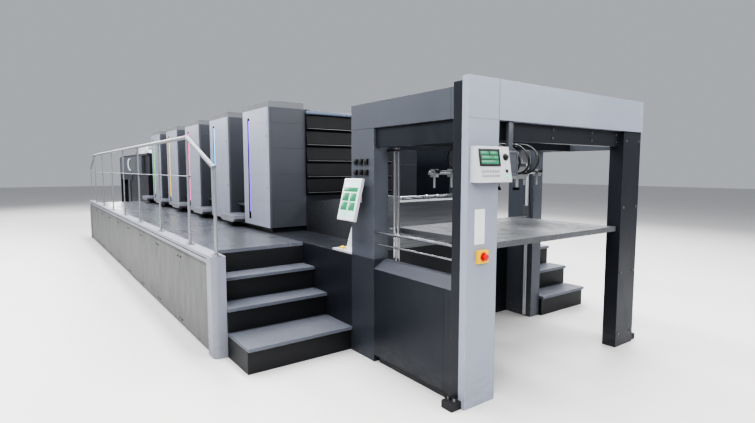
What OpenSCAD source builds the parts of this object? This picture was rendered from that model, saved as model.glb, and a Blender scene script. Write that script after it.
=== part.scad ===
// Sheet-fed offset printing press: feeder, four printing units, coating unit and
// extended delivery on one raised bed, with a gallery along both sides.
// +X points to the feeder, +Y to the drive side, +Z up, and the floor is Z = 0.

/* [Overall] */
// Width of the press over its covers, galleries not counted
press_w = 2300; // [2200:10:2500]
// Height of the gallery floors and of the machine bed
gallery_h = 880; // [840:4:920]
// Height of the unit covers
unit_top = 2380; // [2340:5:2440]
// Pitch from one unit to the next
unit_pitch = 1400; // [1340:10:1600]

/* [Units] */
// Length of one unit cover along the press
cover_len = 840; // [780:10:880]
// Half width over the side frames of a unit
frame_half = 660; // [640:5:680]
// Thickness of one side frame
frame_t = 60; // [50:1:70]
// Corner radius of the unit covers
cover_r = 40; // [20:1:60]
// Distance of the light slot from the edge of the cover
slot_x = 195; // [160:5:260]
// Width of the light slot
slot_w = 62; // [50:1:80]
// Depth of the light slot
slot_d = 30; // [20:1:40]
// Width of the light strip
strip_w = 24; // [16:1:36]
// Height of the tray rims
tray_h = 75; // [50:5:100]
// Thickness of a tray rim
tray_t = 14; // [8:1:20]
// Thickness of a louvred guard
guard_t = 46; // [40:1:60]
// Number of louvres in a guard
louvre_n = 5; // [4:1:6]

/* [Inking] */
// Radius of the ink fountain roller
ink_r = 55; // [45:1:58]
// Distance of the ink fountain's ends from the outside of the side frames
duct_in = 120; // [105:5:150]
// Height of the fountain roller's axis below the unit top
ink_drop = 165; // [155:5:185]
// Distance of the fountain roller's axis from the guard side of the unit
ink_in = 330; // [310:5:340]
// Number of ink zones marked on the fountain roller
zone_n = 20; // [12:1:24]
// Radius of the journals at the ends of a roller
journal_r = 18; // [14:1:22]
// Number of slots in one row of the roller cover
cover_slots = 18; // [12:1:20]

/* [Feeder] */
// Length of the feeder's side frames
feeder_len = 1400; // [1360:10:1500]
// Height of the feeder's end beam
feeder_h = 2260; // [2220:5:2320]
// Width of a post of the feeder's end frame
post_w = 300; // [260:5:320]
// Depth of the end frame
post_d = 140; // [120:5:160]
// Length of the rear columns
column_len = 340; // [300:5:380]
// Depth of the rear columns and of the side wall
column_d = 150; // [120:5:180]
// Distance between the feeder and the first unit
table_len = 1800; // [1750:10:1900]
// Rest height of the feeder's pile board
feeder_board_z = 1130; // [1000:10:1180]
// Thickness of both pile boards
board_t = 45; // [35:1:60]

/* [Delivery] */
// Height of the delivery
delivery_h = 2030; // [2000:5:2080]
// Width of a leg of the delivery's portal
leg_w = 360; // [320:5:380]
// Depth of the portal's legs
leg_d = 150; // [130:5:200]
// Distance from the end face to the wall behind the pile
bay_len = 1900; // [1850:10:2000]
// Distance from the end face to the gallery floor
delivery_len = 3550; // [3450:10:3700]
// Distance from the end face to the last unit cover
delivery_run = 4500; // [4450:10:4700]
// Rest height of the delivery's pile board
delivery_board_z = 1010; // [900:10:1100]
// Radius of the sheet brake roller
brake_r = 78; // [60:1:90]

/* [Galleries] */
// Width of the operator gallery
os_gallery_w = 1100; // [1000:10:1200]
// Width of the drive side gallery
ds_gallery_w = 800; // [760:10:900]
// Width of the rim along a gallery
rim_w = 120; // [100:5:140]
// Height of the rim
rim_h = 70; // [50:5:90]
// Thickness of the gallery floors
floor_t = 30; // [20:1:40]
// Depth of one stair tread
tread_d = 250; // [230:5:280]
// Height of the railings above the rim
rail_h = 1060; // [1000:10:1120]
// Radius of a rail tube
rail_r = 21; // [16:1:26]

/* [Cabinets] */
// Length of one electrical cabinet
cabinet_w = 1200; // [1100:10:1260]
// Depth of the electrical cabinets
cabinet_d = 700; // [650:10:800]
// Height of the cabinets below their hoods
cabinet_h = 1980; // [1900:10:2050]
// Height of the cabinet plinths
plinth_h = 330; // [250:5:400]
// Height of the hoods
hood_h = 420; // [350:5:480]
// Thickness of a cabinet door
door_t = 30; // [24:1:36]

/* [Hidden] */
$fn = 48;

print_n = 4;
unit_n = print_n + 1;
hw = press_w / 2;
a = cover_len / 2;
press_len = feeder_len + table_len + print_n * unit_pitch + cover_len + delivery_run;
feeder_end = press_len / 2;
delivery_end = -press_len / 2;
// Distance s from the feeder's or the delivery's end face, as a position along X
function fx(s) = feeder_end - s;
function dx(s) = delivery_end + s;
// Centre of unit i, where 0 stands next to the feeder
function ux(i) = fx(feeder_len + table_len + a + i * unit_pitch);
unit_gap = unit_pitch - cover_len;
os_y = -hw - os_gallery_w;
ds_y = hw + ds_gallery_w;
out_y = ds_y + cabinet_d;
// The centre line is set off so that the whole outline is centred on the origin
cy = -(os_y + out_y) / 2;
// Running clearance of guides, journals and hinges
run = 0.4;
rise = gallery_h / 4;
kick = 60;
ink_z = unit_top - ink_drop;
duct_half = frame_half - duct_in;
panel_d = 90;
body_len = delivery_run - unit_gap;

// A box between two values on each axis, measured from the press's centre line
module span(x0, x1, y0, y1, z0, z1) {
    translate([x0, y0, z0])
        cube([x1 - x0, y1 - y0, z1 - z0]);
}

// An outline in X and Z, run along Y
module prism_y(points, y0, y1) {
    translate([0, y1, 0])
        rotate([90, 0, 0])
            linear_extrude(y1 - y0)
                polygon(points);
}

// An outline in Y and Z, run along X
module prism_x(points, x0, x1) {
    translate([x0, 0, 0])
        rotate([90, 0, 90])
            linear_extrude(x1 - x0)
                polygon(points);
}

// A rod along Y
module rod_y(x, y0, y1, z, r) {
    translate([x, y0, z])
        rotate([-90, 0, 0])
            cylinder(h = y1 - y0, r = r);
}

// A rod along X
module rod_x(x0, x1, y, z, r) {
    translate([x0, y, z])
        rotate([0, 90, 0])
            cylinder(h = x1 - x0, r = r);
}

// A plan outline with the two front corners (at y0) rounded
module front_rounded(x0, x1, y0, y1, r) {
    translate([x0, y0 + r])
        square([x1 - x0, y1 - y0 - r]);
    translate([x0 + r, y0])
        square([x1 - x0 - 2 * r, r]);
    for (x = [x0 + r, x1 - r])
        translate([x, y0 + r])
            circle(r);
}

// Everything is placed from the press's centre line
module on_centre() {
    translate([0, cy, 0])
        children();
}

// Units

bed_x0 = dx(body_len);
bed_x1 = fx(feeder_len);

module machine_bed() {
    color("#2b2d31")
        on_centre() {
            span(bed_x0, bed_x1, -hw, hw, 0, gallery_h);
            for (i = [0 : unit_n - 1])
                span(ux(i) - a + kick, ux(i) + a - kick, -hw + kick, -frame_half,
                    gallery_h, gallery_h + kick);
        }
}

guard_z0 = 1500;
guard_z1 = unit_top - 230;
cover_z0 = ink_z + ink_r + 8;
recess_z = ink_z - ink_r - 75;
cover_low = -a + ink_in + ink_r + 22;

// Section of a unit between its side frames: a pit for the fountain and its roller,
// then the slope under the roller cover
function pit_profile() = [
    [-a + guard_t, gallery_h], [a, gallery_h], [a, unit_top - 30],
    [a - 110, unit_top - 30], [cover_low, cover_z0 - 22],
    [cover_low, recess_z], [-a + 110, recess_z], [-a + 110, guard_z1],
    [-a + guard_t, guard_z1]
];

module unit_body(i) {
    translate([ux(i), 0, 0]) {
        if (i < print_n)
            prism_y(pit_profile(), -frame_half + frame_t, frame_half - frame_t);
        else
            span(-a + guard_t, a, -frame_half + frame_t, frame_half - frame_t,
                gallery_h, unit_top - 30);
        for (side = [-1, 1])
            difference() {
                translate([0, side * (frame_half - frame_t / 2), 0])
                    span(-a, a, -frame_t / 2, frame_t / 2, gallery_h, unit_top);
                if (i < print_n)
                    rod_y(-a + ink_in, side * frame_half - frame_t, side * frame_half + frame_t,
                        ink_z, journal_r + run);
            }
    }
}

module unit_bodies() {
    color("#24262b")
        on_centre()
            for (i = [0 : unit_n - 1])
                unit_body(i);
}

cover_z = gallery_h + kick;
slot_z0 = cover_z + 70;
slot_z1 = unit_top - 90;

module os_cover() {
    difference() {
        translate([0, 0, cover_z])
            linear_extrude(unit_top - cover_z)
                front_rounded(-a, a, -hw, -frame_half, cover_r);
        span(-a + slot_x, -a + slot_x + slot_w, -hw - 1, -hw + slot_d, slot_z0, slot_z1);
        span(-a - 1, -a + slot_d, -hw + 75, -hw + 145, 1350, unit_top - 160);
    }
}

module os_covers() {
    color("#b9bcc3")
        on_centre()
            for (i = [0 : unit_n - 1])
                translate([ux(i), 0, 0])
                    os_cover();
}

strip_colours = ["#4a1a66", "#2fb4ff", "#ff3fb0", "#ffd21f", "#22e34a"];

module unit_lights() {
    on_centre()
        for (i = [0 : unit_n - 1])
            color(strip_colours[i])
                translate([ux(i) - a + slot_x + slot_w / 2, 0, 0])
                    span(-strip_w / 2, strip_w / 2, -hw + slot_d - 10, -hw + slot_d,
                        slot_z0 + 90, slot_z1 - 30);
}

module unit_tray() {
    difference() {
        span(-a + 12, a - 12, -hw + 12, -frame_half - 12, unit_top, unit_top + tray_h);
        span(-a + 12 + tray_t, a - 12 - tray_t, -hw + 12 + tray_t, -frame_half - 12 - tray_t,
            unit_top + tray_t, unit_top + tray_h + 1);
    }
}

module unit_trays() {
    color("#8d9096")
        on_centre()
            for (i = [0 : unit_n - 1])
                translate([ux(i), 0, 0])
                    unit_tray();
}

// One louvred sheet: a back sheet with slats that lean out over each other.
// dir is -1 where the slats face the delivery and 1 where they face the feeder
module louvres(z0, z1, dir, y) {
    pitch = (z1 - z0) / louvre_n;
    back = guard_t * 0.35;
    slats = [for (k = [0 : louvre_n - 1]) each [
        [dir * back, z0 + k * pitch],
        [dir * guard_t, z0 + k * pitch + 18],
        [dir * guard_t, z0 + k * pitch + 40],
        [dir * (back + 6), z0 + (k + 1) * pitch - 14]
    ]];
    prism_y(concat([[0, z0]], slats, [[dir * back, z1], [0, z1]]), -y, y);
}

module louvred_guards() {
    color("#1c1e22")
        on_centre() {
            for (i = [0 : unit_n - 1])
                translate([ux(i) - a + guard_t, 0, 0])
                    louvres(guard_z0, guard_z1, -1, frame_half - frame_t);
            translate([ux(0) + a, 0, 0])
                louvres(1330, unit_top - 60, 1, frame_half);
        }
}

// Sloped cover over the inking rollers: a folded sheet with three rows of slots
module roller_cover() {
    y = frame_half - frame_t - 6;
    fold = a - 110;
    slope = atan((unit_top - 30 - (cover_z0 - 22)) / (fold - cover_low));
    run_len = (fold - cover_low) / cos(slope);
    slot_pitch = 2 * duct_half / cover_slots;
    difference() {
        prism_y([[cover_low, cover_z0 - 22], [fold, unit_top - 30], [a, unit_top - 30],
            [a, unit_top - 8], [fold, unit_top - 8], [cover_low, cover_z0]], -y, y);
        for (row = [0.16, 0.38, 0.76])
            for (k = [0 : cover_slots - 1])
                translate([cover_low, -duct_half + (k + 0.5) * slot_pitch, cover_z0 - 11])
                    rotate([0, -slope, 0])
                        translate([run_len * row, 0, 0])
                            cube([34, slot_pitch * 0.72, 44], center = true);
    }
}

module roller_covers() {
    color("#5c6672")
        on_centre()
            for (i = [0 : print_n - 1])
                translate([ux(i), 0, 0])
                    roller_cover();
}

// Ink fountain: blade, front panel, ends and the pivots that the panel tips on
module ink_fountain() {
    x0 = -a + 110;
    xr = -a + ink_in;
    top = ink_z + 58;
    lip = xr - ink_r - 6;
    prism_y([[x0, recess_z], [lip - 40, recess_z], [lip, ink_z - 34], [lip, ink_z - 20],
        [x0 + 60, top - 22], [x0 + 60, top], [x0 + 34, top], [x0, top - 70]],
        -duct_half - 24, duct_half + 24);
    for (side = [-1, 1])
        translate([0, side * (duct_half + 12), 0]) {
            prism_y([[x0 + 60, top - 30], [lip, ink_z - 24], [lip, ink_z + 34], [x0 + 60, top]],
                -12, 12);
            rod_y(x0 + 42, side > 0 ? 12 : -28, side > 0 ? 28 : -12, recess_z + 40, 26);
        }
    for (side = [-1, 1])
        translate([0, side * (duct_half + 44), 0])
            span(x0 + 6, x0 + 96, -16, 16, recess_z, recess_z + 84);
}

module ink_fountains() {
    color("#2d3138")
        on_centre()
            for (i = [0 : print_n - 1])
                translate([ux(i), 0, 0])
                    ink_fountain();
}

// Fountain roller i, with a shallow groove between its ink zones
module ink_roller(i) {
    zone = 2 * duct_half / zone_n;
    color("#7c8a5a")
        on_centre()
            translate([ux(i) - a + ink_in, 0, ink_z])
                rotate([-90, 0, 0]) {
                    translate([0, 0, -frame_half + 2])
                        cylinder(h = 2 * frame_half - 4, r = journal_r);
                    rotate_extrude()
                        polygon(concat(
                            [[0, -duct_half]],
                            [for (k = [0 : zone_n - 1]) each [
                                [ink_r - (k == 0 ? 0 : 2), -duct_half + k * zone],
                                [ink_r, -duct_half + k * zone + 3],
                                [ink_r, -duct_half + (k + 1) * zone - 3]]],
                            [[ink_r - 2, duct_half], [0, duct_half]]));
                }
}

module ink_roller_1() { ink_roller(0); }
module ink_roller_2() { ink_roller(1); }
module ink_roller_3() { ink_roller(2); }
module ink_roller_4() { ink_roller(3); }

rail_z0 = unit_top - 180;
rail_z1 = unit_top - 60;

// Drive side: one cover at each unit, and the long service rail that joins them
module ds_covers() {
    color("#4a4d54")
        on_centre() {
            for (i = [0 : unit_n - 1])
                translate([ux(i), 0, 0])
                    difference() {
                        span(-a, a, frame_half, hw, gallery_h, unit_top);
                        span(-a - 1, a + 1, hw - 90, hw + 1, rail_z0, unit_top + 1);
                    }
            span(ux(unit_n - 1) - a, ux(0) + a, hw - 90, hw, rail_z0, rail_z1);
        }
}

step_z = gallery_h + 150;
step_rise = 140;
deck_z = step_z + 2 * step_rise;
step_gap = unit_gap;
deck_y = frame_half - frame_t;

// Steps from the gallery up to the deck between two units; x is their centre
module unit_step(x, len) {
    translate([x, 0, 0]) {
        prism_y([[-len / 2 + 60, step_z - 85], [len / 2 - 60, step_z - 85], [len / 2, step_z - 45],
            [len / 2, step_z], [-len / 2, step_z], [-len / 2, step_z - 45]], -hw - 130, -hw + 130);
        span(-len / 2, len / 2, -hw + 130, -deck_y, gallery_h, step_z);
        span(-len / 2, len / 2, -hw + 160, -deck_y, step_z, step_z + step_rise - 34);
        span(-len / 2, len / 2, -hw + 130, -deck_y, step_z + step_rise - 34, step_z + step_rise);
        span(-len / 2, len / 2, -hw + 380, -deck_y, step_z + step_rise, deck_z - 34);
        span(-len / 2, len / 2, -hw + 350, -deck_y, deck_z - 34, deck_z);
    }
}

module unit_steps() {
    color("#6d7178")
        on_centre()
            for (i = [0 : unit_n - 1])
                unit_step(ux(i) - a - unit_gap / 2, step_gap);
}

roll = 210;

// Deck and rounded cylinder cover in the gap on the delivery side of a unit
module cylinder_cover() {
    y = frame_half - frame_t;
    x0 = -a - unit_gap;
    x1 = -a + guard_t;
    intersection() {
        span(x0, x1, -y, y, gallery_h, guard_z0);
        union() {
            span(x0, x1, -y, y, gallery_h, deck_z);
            span(x1 - roll + 60, x1, -y, y, deck_z - 1, guard_z0 - roll + 60);
            rod_y(x1 - 40, -y, y, guard_z0 - roll, roll - 60);
            span(x1 - 40, x1, -y, y, deck_z, guard_z0);
        }
    }
}

module cylinder_covers() {
    color("#7f8ea3")
        on_centre()
            for (i = [0 : unit_n - 2])
                translate([ux(i), 0, 0])
                    cylinder_cover();
}

// Feeder

window_z0 = 880;
window_z1 = 1830;
side_h = 2200;
beam_z = 1985;

module feeder_portal() {
    color("#b4b7be")
        on_centre() {
            span(fx(60), fx(0), -hw, -hw + post_w, 0, beam_z);
            span(fx(60), fx(0), -hw, hw, beam_z, feeder_h);
        }
}

module feeder_posts() {
    color("#26282d")
        on_centre() {
            span(fx(post_d), fx(60), -hw, -hw + post_w - 20, 0, feeder_h - 30);
            span(fx(post_d), fx(60), hw - post_w, hw, 0, feeder_h - 30);
            span(fx(60), fx(14), hw - post_w, hw, 0, beam_z);
            span(fx(post_d), fx(60), -hw + post_w - 20, hw - post_w, window_z1 + 20, feeder_h - 30);
            // Cross beam between the rear columns, and the suction head's beam
            span(fx(feeder_len), fx(feeder_len - 120), -hw + column_d, hw - column_d,
                window_z1, window_z1 + 200);
            span(fx(760), fx(700), -hw + 60, hw - 60, window_z1, window_z1 + 90);
            for (side = [-1, 1]) {
                feeder_guide(side)
                    guide_rail(20, window_z1);
                // Foot blocks outside the posts
                scale_y(side)
                    span(fx(post_d - 10), fx(30), hw, hw + 90, 0, 55);
            }
        }
}

module feeder_os_wall() {
    x0 = fx(feeder_len - column_len);
    x1 = fx(post_d);
    color("#2f3238")
        on_centre() {
            prism_x([[-hw, kick], [-hw + column_d, kick], [-hw + column_d, window_z0],
                [-hw + 110, window_z0], [-hw, window_z0 - 70]], x0, x1);
            span(x0 + 40, x1, -hw + 30, -hw + column_d, 0, kick);
            span(x0, x1, -hw + 20, -hw + 60, window_z1, beam_z);
        }
}

module feeder_columns() {
    x0 = fx(feeder_len);
    xc = fx(feeder_len - column_len);
    x1 = fx(post_d);
    color("#6f737b")
        on_centre() {
            span(x0, xc, -hw, -hw + column_d, 0, side_h);
            span(x0, xc, hw - column_d, hw, 0, side_h);
            span(xc, x1, -hw, -hw + 60, beam_z, side_h);
            span(xc, x1, hw - 60, hw, window_z1, side_h);
            for (row = [0, 1], k = [0 : 2])
                translate([x0 + 80 + k * 80, -hw - 14, 1620 + row * 90])
                    span(-22, 22, 0, 14, -24, 24);
        }
}

head_x = fx(730);
head_z = 1560;
sucker_r = 16;

// Suction head over the pile: body on two hangers, lifting and forwarding suckers,
// the separator foot and the air hoses
module feeder_suction_head() {
    color("#a9adb3")
        on_centre()
            translate([head_x, 0, 0]) {
                span(-120, 150, -230, 230, head_z, head_z + 110);
                span(-60, 90, -160, 160, head_z + 110, head_z + 170);
                for (side = [-1, 1])
                    translate([0, side * 190, 0])
                        span(-25, 25, -20, 20, head_z + 110, window_z1);
                rod_y(-80, -760, 760, head_z + 55, 16);
                for (y = [-200, -90, 90, 200])
                    translate([-150, y, 0]) {
                        span(-20, 30, -18, 18, head_z + 20, head_z + 80);
                        translate([0, 0, head_z - 90])
                            cylinder(h = 110, r = sucker_r);
                        translate([0, 0, head_z - 110])
                            cylinder(h = 20, r = sucker_r + 9);
                    }
                for (y = [-150, 150])
                    translate([100, y, 0]) {
                        translate([0, 0, head_z - 80])
                            cylinder(h = 80, r = sucker_r + 4);
                        translate([0, 0, head_z - 100])
                            cylinder(h = 20, r = sucker_r + 14);
                    }
                for (y = [-700, -500, 500, 700])
                    translate([-80, y, 0]) {
                        span(-30, 30, -22, 22, head_z + 20, head_z + 90);
                        translate([0, 0, head_z - 70])
                            cylinder(h = 90, r = 10);
                    }
                for (y = [-120, -40, 40, 120])
                    translate([-60, y, head_z + 110])
                        rotate([90, 0, 0])
                            rotate_extrude(angle = 180)
                                translate([52, 0])
                                    circle(9);
            }
}

// Guide rail of a pile board: a web on the wall behind it and a wider head. The rail
// stands off along +X from x = 0 and is centred on Y = 0
web_w = 14;
web_d = 16;
head_w = 34;
head_d = 14;
shoe_d = 52;
shoe_h = 120;

module guide_rail(z0, z1) {
    span(0, web_d, -web_w / 2, web_w / 2, z0, z1);
    span(web_d, web_d + head_d, -head_w / 2, head_w / 2, z0, z1);
}

// Shoe that wraps the head of the rail with a running clearance
module guide_shoe(z) {
    difference() {
        span(6, shoe_d, -head_w / 2 - 14, head_w / 2 + 14, z - board_t, z + shoe_h);
        span(web_d - run, web_d + head_d + run, -head_w / 2 - run, head_w / 2 + run,
            z - board_t - 1, z + shoe_h + 1);
        span(5, web_d, -web_w / 2 - run, web_w / 2 + run, z - board_t - 1, z + shoe_h + 1);
    }
}

guide_x = fx(feeder_len - column_len) - 70;
guide_y = hw - column_d;

// Feeder guides stand on the inner faces of the rear columns
module feeder_guide(side) {
    scale_y(side)
        translate([guide_x, guide_y, 0])
            rotate([0, 0, -90])
                children();
}

// Pile board and the shoes that run on the guide rails of the rear columns
module feeder_pile_board() {
    y = hw - post_w - 30;
    color("#7b7e84")
        on_centre() {
            span(guide_x - 31, fx(40), -y, y, feeder_board_z - board_t, feeder_board_z);
            for (side = [-1, 1]) {
                feeder_guide(side)
                    guide_shoe(feeder_board_z);
                scale_y(side)
                    span(guide_x - 31, guide_x + 31, y, guide_y - shoe_d,
                        feeder_board_z - board_t, feeder_board_z);
            }
        }
}

// Mirror across the press's centre line where side is -1
module scale_y(side) {
    if (side < 0)
        mirror([0, 1, 0])
            children();
    else
        children();
}

// Touch screen on its arm in front of the rear column, and the small stand beside it
module feeder_touch_screen() {
    x = fx(feeder_len - 140);
    xs = fx(feeder_len + 190);
    color("#d9dcdf")
        on_centre() {
            span(x - 25, x + 25, -hw - 95, -hw, 1360, 1410);
            translate([x, -hw - 90, 1385])
                rotate([-14, 0, 0])
                    span(-135, 135, -24, 0, -185, 185);
            span(xs - 170, xs + 170, -hw + 12, -hw + 232, gallery_h, gallery_h + 18);
            translate([xs, -hw + 150, gallery_h + 14])
                rotate([-16, 0, 0])
                    span(-110, 110, -14, 0, 0, 190);
        }
}

table_x1 = fx(feeder_len);
table_x0 = ux(0) + a;

module feed_table() {
    color("#8a8e95")
        on_centre() {
            prism_y([[table_x0, gallery_h], [table_x1, gallery_h], [table_x1, 1330],
                [table_x1 - 260, 1330], [table_x0, 1180]], -frame_half + 60, frame_half - 60);
            for (side = [-1, 1])
                scale_y(side)
                    prism_y([[table_x0, gallery_h], [table_x1, gallery_h], [table_x1, 1390],
                        [table_x1 - 260, 1390], [table_x0, 1240]], frame_half - 60, frame_half);
        }
}

module control_panels() {
    color("#cfd2d6")
        on_centre() {
            prism_y([[fx(0), 1560], [fx(0), 1800], [fx(-50), 1800], [fx(-panel_d), 1560]],
                -hw + 20, -hw + 340);
            span(fx(0), fx(-24), -hw + 90, -hw + 190, 1010, 1100);
            span(dx(-panel_d), dx(0), -hw + 30, -hw + 420, 1270, 1920);
        }
}

// Galleries

// Distances of the gallery floors' and rims' ends from the end faces of the press
os_floor_s = 2350;
os_rim_s = 1890;
os_rim_back = 700;
ds_floor_s = 1750;
ds_end_s = 2600;
corner_len = 160;
os_x0 = dx(delivery_len);
os_x1 = fx(os_floor_s);
rim_x0 = dx(delivery_len - os_rim_back);
rim_x1 = fx(os_rim_s);
rim_z = gallery_h + 20;
ds_x0 = dx(ds_end_s);
ds_x1 = fx(ds_floor_s);
rib_pitch = 1380;
rib_t = 40;

// Cross walls that carry a gallery floor from y0 to y1, and its rim from yr0 to yr1
module ribs(x0, x1, y0, y1, yr0, yr1) {
    rib_n = ceil((x1 - x0) / rib_pitch);
    for (k = [0 : rib_n])
        translate([x0 + k * (x1 - x0 - rib_t) / rib_n, 0, 0]) {
            span(0, rib_t, y0, y1, 0, gallery_h - floor_t);
            span(0, rib_t, yr0, yr1, 0, rim_z - rim_h);
        }
}

module os_gallery() {
    color("#55585e")
        on_centre() {
            span(os_x0, os_x1, os_y + rim_w, -hw, gallery_h - floor_t, gallery_h);
            ribs(os_x0, os_x1, os_y + rim_w, -hw, os_y + 60, os_y + rim_w);
            // Cheeks between the end treads and the skirt
            span(os_x1, rim_x1 - corner_len, os_y + 60, os_y + rim_w, 0, rim_z - rim_h);
            span(rim_x0 + corner_len, os_x0, os_y + 60, os_y + rim_w, 0, rim_z - rim_h);
        }
}

skirt_n = 9;

module os_skirt() {
    x0 = rim_x0 + corner_len;
    x1 = rim_x1 - corner_len;
    pitch = (x1 - x0) / skirt_n;
    color("#8b8a86")
        on_centre()
            for (k = [0 : skirt_n - 1])
                translate([x0 + k * pitch, 0, 0])
                    span(2, pitch - 2, os_y + 20, os_y + 60, 20, rim_z - rim_h);
}

module corner_post(x0, x1, y0, y1, dir) {
    linear_extrude(rim_z)
        union() {
            translate([x0, y0 + 50])
                square([x1 - x0, y1 - y0 - 50]);
            translate([dir > 0 ? x0 : x0 + 50, y0])
                square([x1 - x0 - 50, 50]);
            translate([dir > 0 ? x1 - 50 : x0 + 50, y0 + 50])
                circle(50);
        }
}

module gallery_rims() {
    color("#b9bcc1")
        on_centre() {
            span(rim_x0 + corner_len, rim_x1 - corner_len, os_y, os_y + rim_w, rim_z - rim_h, rim_z);
            corner_post(rim_x1 - corner_len, rim_x1, os_y, os_y + rim_w, 1);
            corner_post(rim_x0, rim_x0 + corner_len, os_y, os_y + rim_w, -1);
            span(ds_x0, ds_x1, ds_y - rim_w, ds_y, rim_z - rim_h, rim_z);
            span(ds_x0, ds_x0 + rim_w, hw, ds_y - rim_w, rim_z - rim_h, rim_z);
        }
}

post_n = 7;
knee_z = rim_z + 0.64 * rail_h;
top_z = rim_z + rail_h;
slope_len = 820;
slope_drop = 300;

// A flat railing post standing on the rim
module rail_post(x, y, h, along = true) {
    w = along ? 30 : 6;
    t = along ? 6 : 30;
    span(x - w, x + w, y - t, y + t, rim_z, rim_z + h);
}

// Sloped end of a top rail, from its last full post down to the end post
module rail_end(x, y, dir) {
    fall = atan(slope_drop / slope_len);
    translate([x, y, top_z]) {
        sphere(rail_r + 1);
        rotate([0, 90 * dir + dir * fall, 0])
            cylinder(h = sqrt(slope_len * slope_len + slope_drop * slope_drop), r = rail_r);
    }
    rail_post(x + dir * slope_len, y, rail_h - slope_drop);
}

module os_railing() {
    y = os_y + rim_w / 2;
    x0 = rim_x0 + 60 + slope_len;
    x1 = rim_x1 - 60 - slope_len;
    for (k = [0 : post_n - 1])
        rail_post(x0 + k * (x1 - x0) / (post_n - 1), y, rail_h);
    rod_x(x0, x1, y, top_z, rail_r);
    rod_x(x0, x1, y, knee_z, 5);
    rail_end(x0, y, -1);
    rail_end(x1, y, 1);
}

// Drive side railing: along the rim where no cabinet stands, and across its end
module ds_railing(x0, x1, posts) {
    y = ds_y - rim_w / 2;
    wire = 5;
    for (k = [0 : posts - 1])
        rail_post(x0 + k * (x1 - x0) / (posts - 1), y, rail_h);
    rod_x(x0, x1, y, top_z, rail_r);
    rod_x(x0 + 4 * wire, x1, y, knee_z, wire);
}

// Handrail of the drive side flight: a post on the rim, one on the last tread, and the
// sloped tube between them
module stair_rail(x) {
    y0 = ds_y - rim_w / 2;
    y1 = ds_y + 3 * ds_tread - 70;
    z1 = rise + 0.9 * rail_h;
    run_y = y1 - y0;
    fall = top_z - z1;
    rail_post(x, y0, rail_h, false);
    span(x - 6, x + 6, y1 - 30, y1 + 30, rise, z1);
    translate([x, y0, top_z]) {
        sphere(rail_r + 1);
        rotate([-90 - atan(fall / run_y), 0, 0])
            cylinder(h = sqrt(run_y * run_y + fall * fall), r = rail_r);
    }
    translate([x, y1, z1])
        sphere(rail_r + 1);
}

module railings() {
    xe = ds_x0 + rim_w / 2;
    color("#9a9da3")
        on_centre() {
            os_railing();
            ds_railing(xe, cab_x(0) - cabinet_w / 2 + 60, 3);
            ds_railing(cab_x(0) + cabinet_w / 2 + stair_w + 60, cab_x(1) - cabinet_w / 2 + 60, 3);
            stair_rail(cab_x(0) + cabinet_w / 2 + stair_w - 50);
            rail_post(xe, hw + 60, rail_h, false);
            rod_y(xe, hw + 60, ds_y - rim_w / 2, top_z, rail_r);
            translate([xe, ds_y - rim_w / 2, top_z])
                sphere(rail_r + 1);
            rod_y(xe, hw + 60, ds_y - rim_w / 2 - 4, knee_z, 5);
        }
}

landing = 450;
// The treads stand out over the risers by this much
nosing = 25;
// Tread of the flight that leads down beside the first cabinet
ds_tread = 225;
stair_w = 800;

// A flight from the gallery down to the floor; x is its top end and dir its way
module flight(x, dir, y0, y1, last) {
    for (k = [1 : 3]) {
        s0 = (k - 1) * tread_d;
        s1 = k == 3 ? 2 * tread_d + last : k * tread_d;
        b0 = k == 1 ? s0 : s0 - nosing;
        b1 = s1 - nosing;
        z = gallery_h - k * rise;
        span(x + min(dir * s0, dir * s1), x + max(dir * s0, dir * s1), y0, y1, z - 30, z);
        span(x + min(dir * b0, dir * b1), x + max(dir * b0, dir * b1), y0, y1, 0, z - 30);
    }
}

module gallery_stairs() {
    color("#6a6d73")
        on_centre() {
            flight(os_x1, 1, os_y + rim_w, -hw, landing);
            flight(os_x0, -1, os_y + rim_w, -hw, tread_d);
            flight(ds_x1, 1, hw, ds_y, tread_d);
            // Drive side flight beside the first cabinet, down towards +Y
            translate([cab_x(0) + cabinet_w / 2, ds_y, 0])
                for (k = [1 : 3]) {
                    z = gallery_h - k * rise;
                    span(0, stair_w, (k - 1) * ds_tread, k * ds_tread, z - 30, z);
                    span(0, stair_w, (k - 1) * ds_tread - (k > 1 ? nosing : 0), k * ds_tread - nosing,
                        0, z - 30);
                }
        }
}

module ds_gallery() {
    color("#3a3c41")
        on_centre() {
            span(ds_x0 + rim_w, ds_x1, hw, ds_y - rim_w, gallery_h - floor_t, gallery_h);
            span(ds_x0, ds_x1, ds_y - 60, ds_y, 0, rim_z - rim_h);
            span(ds_x0 + 20, ds_x0 + rim_w, hw, ds_y - 60, 0, rim_z - rim_h);
            ribs(ds_x0 + rim_w, ds_x1, hw, ds_y - rim_w, ds_y - rim_w, ds_y - 60);
        }
}

// Delivery

hood_z = delivery_h - 530;
band_z = hood_z - 150;
column_x = bay_len - 690;
roof_z = delivery_h - 10;

module delivery_portal() {
    color("#b9bcc3")
        on_centre() {
            for (side = [-1, 1])
                scale_y(side)
                    span(dx(0), dx(60), hw - leg_w, hw, 30, delivery_h - 140);
            span(dx(0), dx(60), -hw, hw, delivery_h - 140, delivery_h);
        }
}

brake_x = dx(bay_len - 260);
brake_z = delivery_h - 390;
wall_x = dx(bay_len - 60);
column_w = 390;

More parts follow.
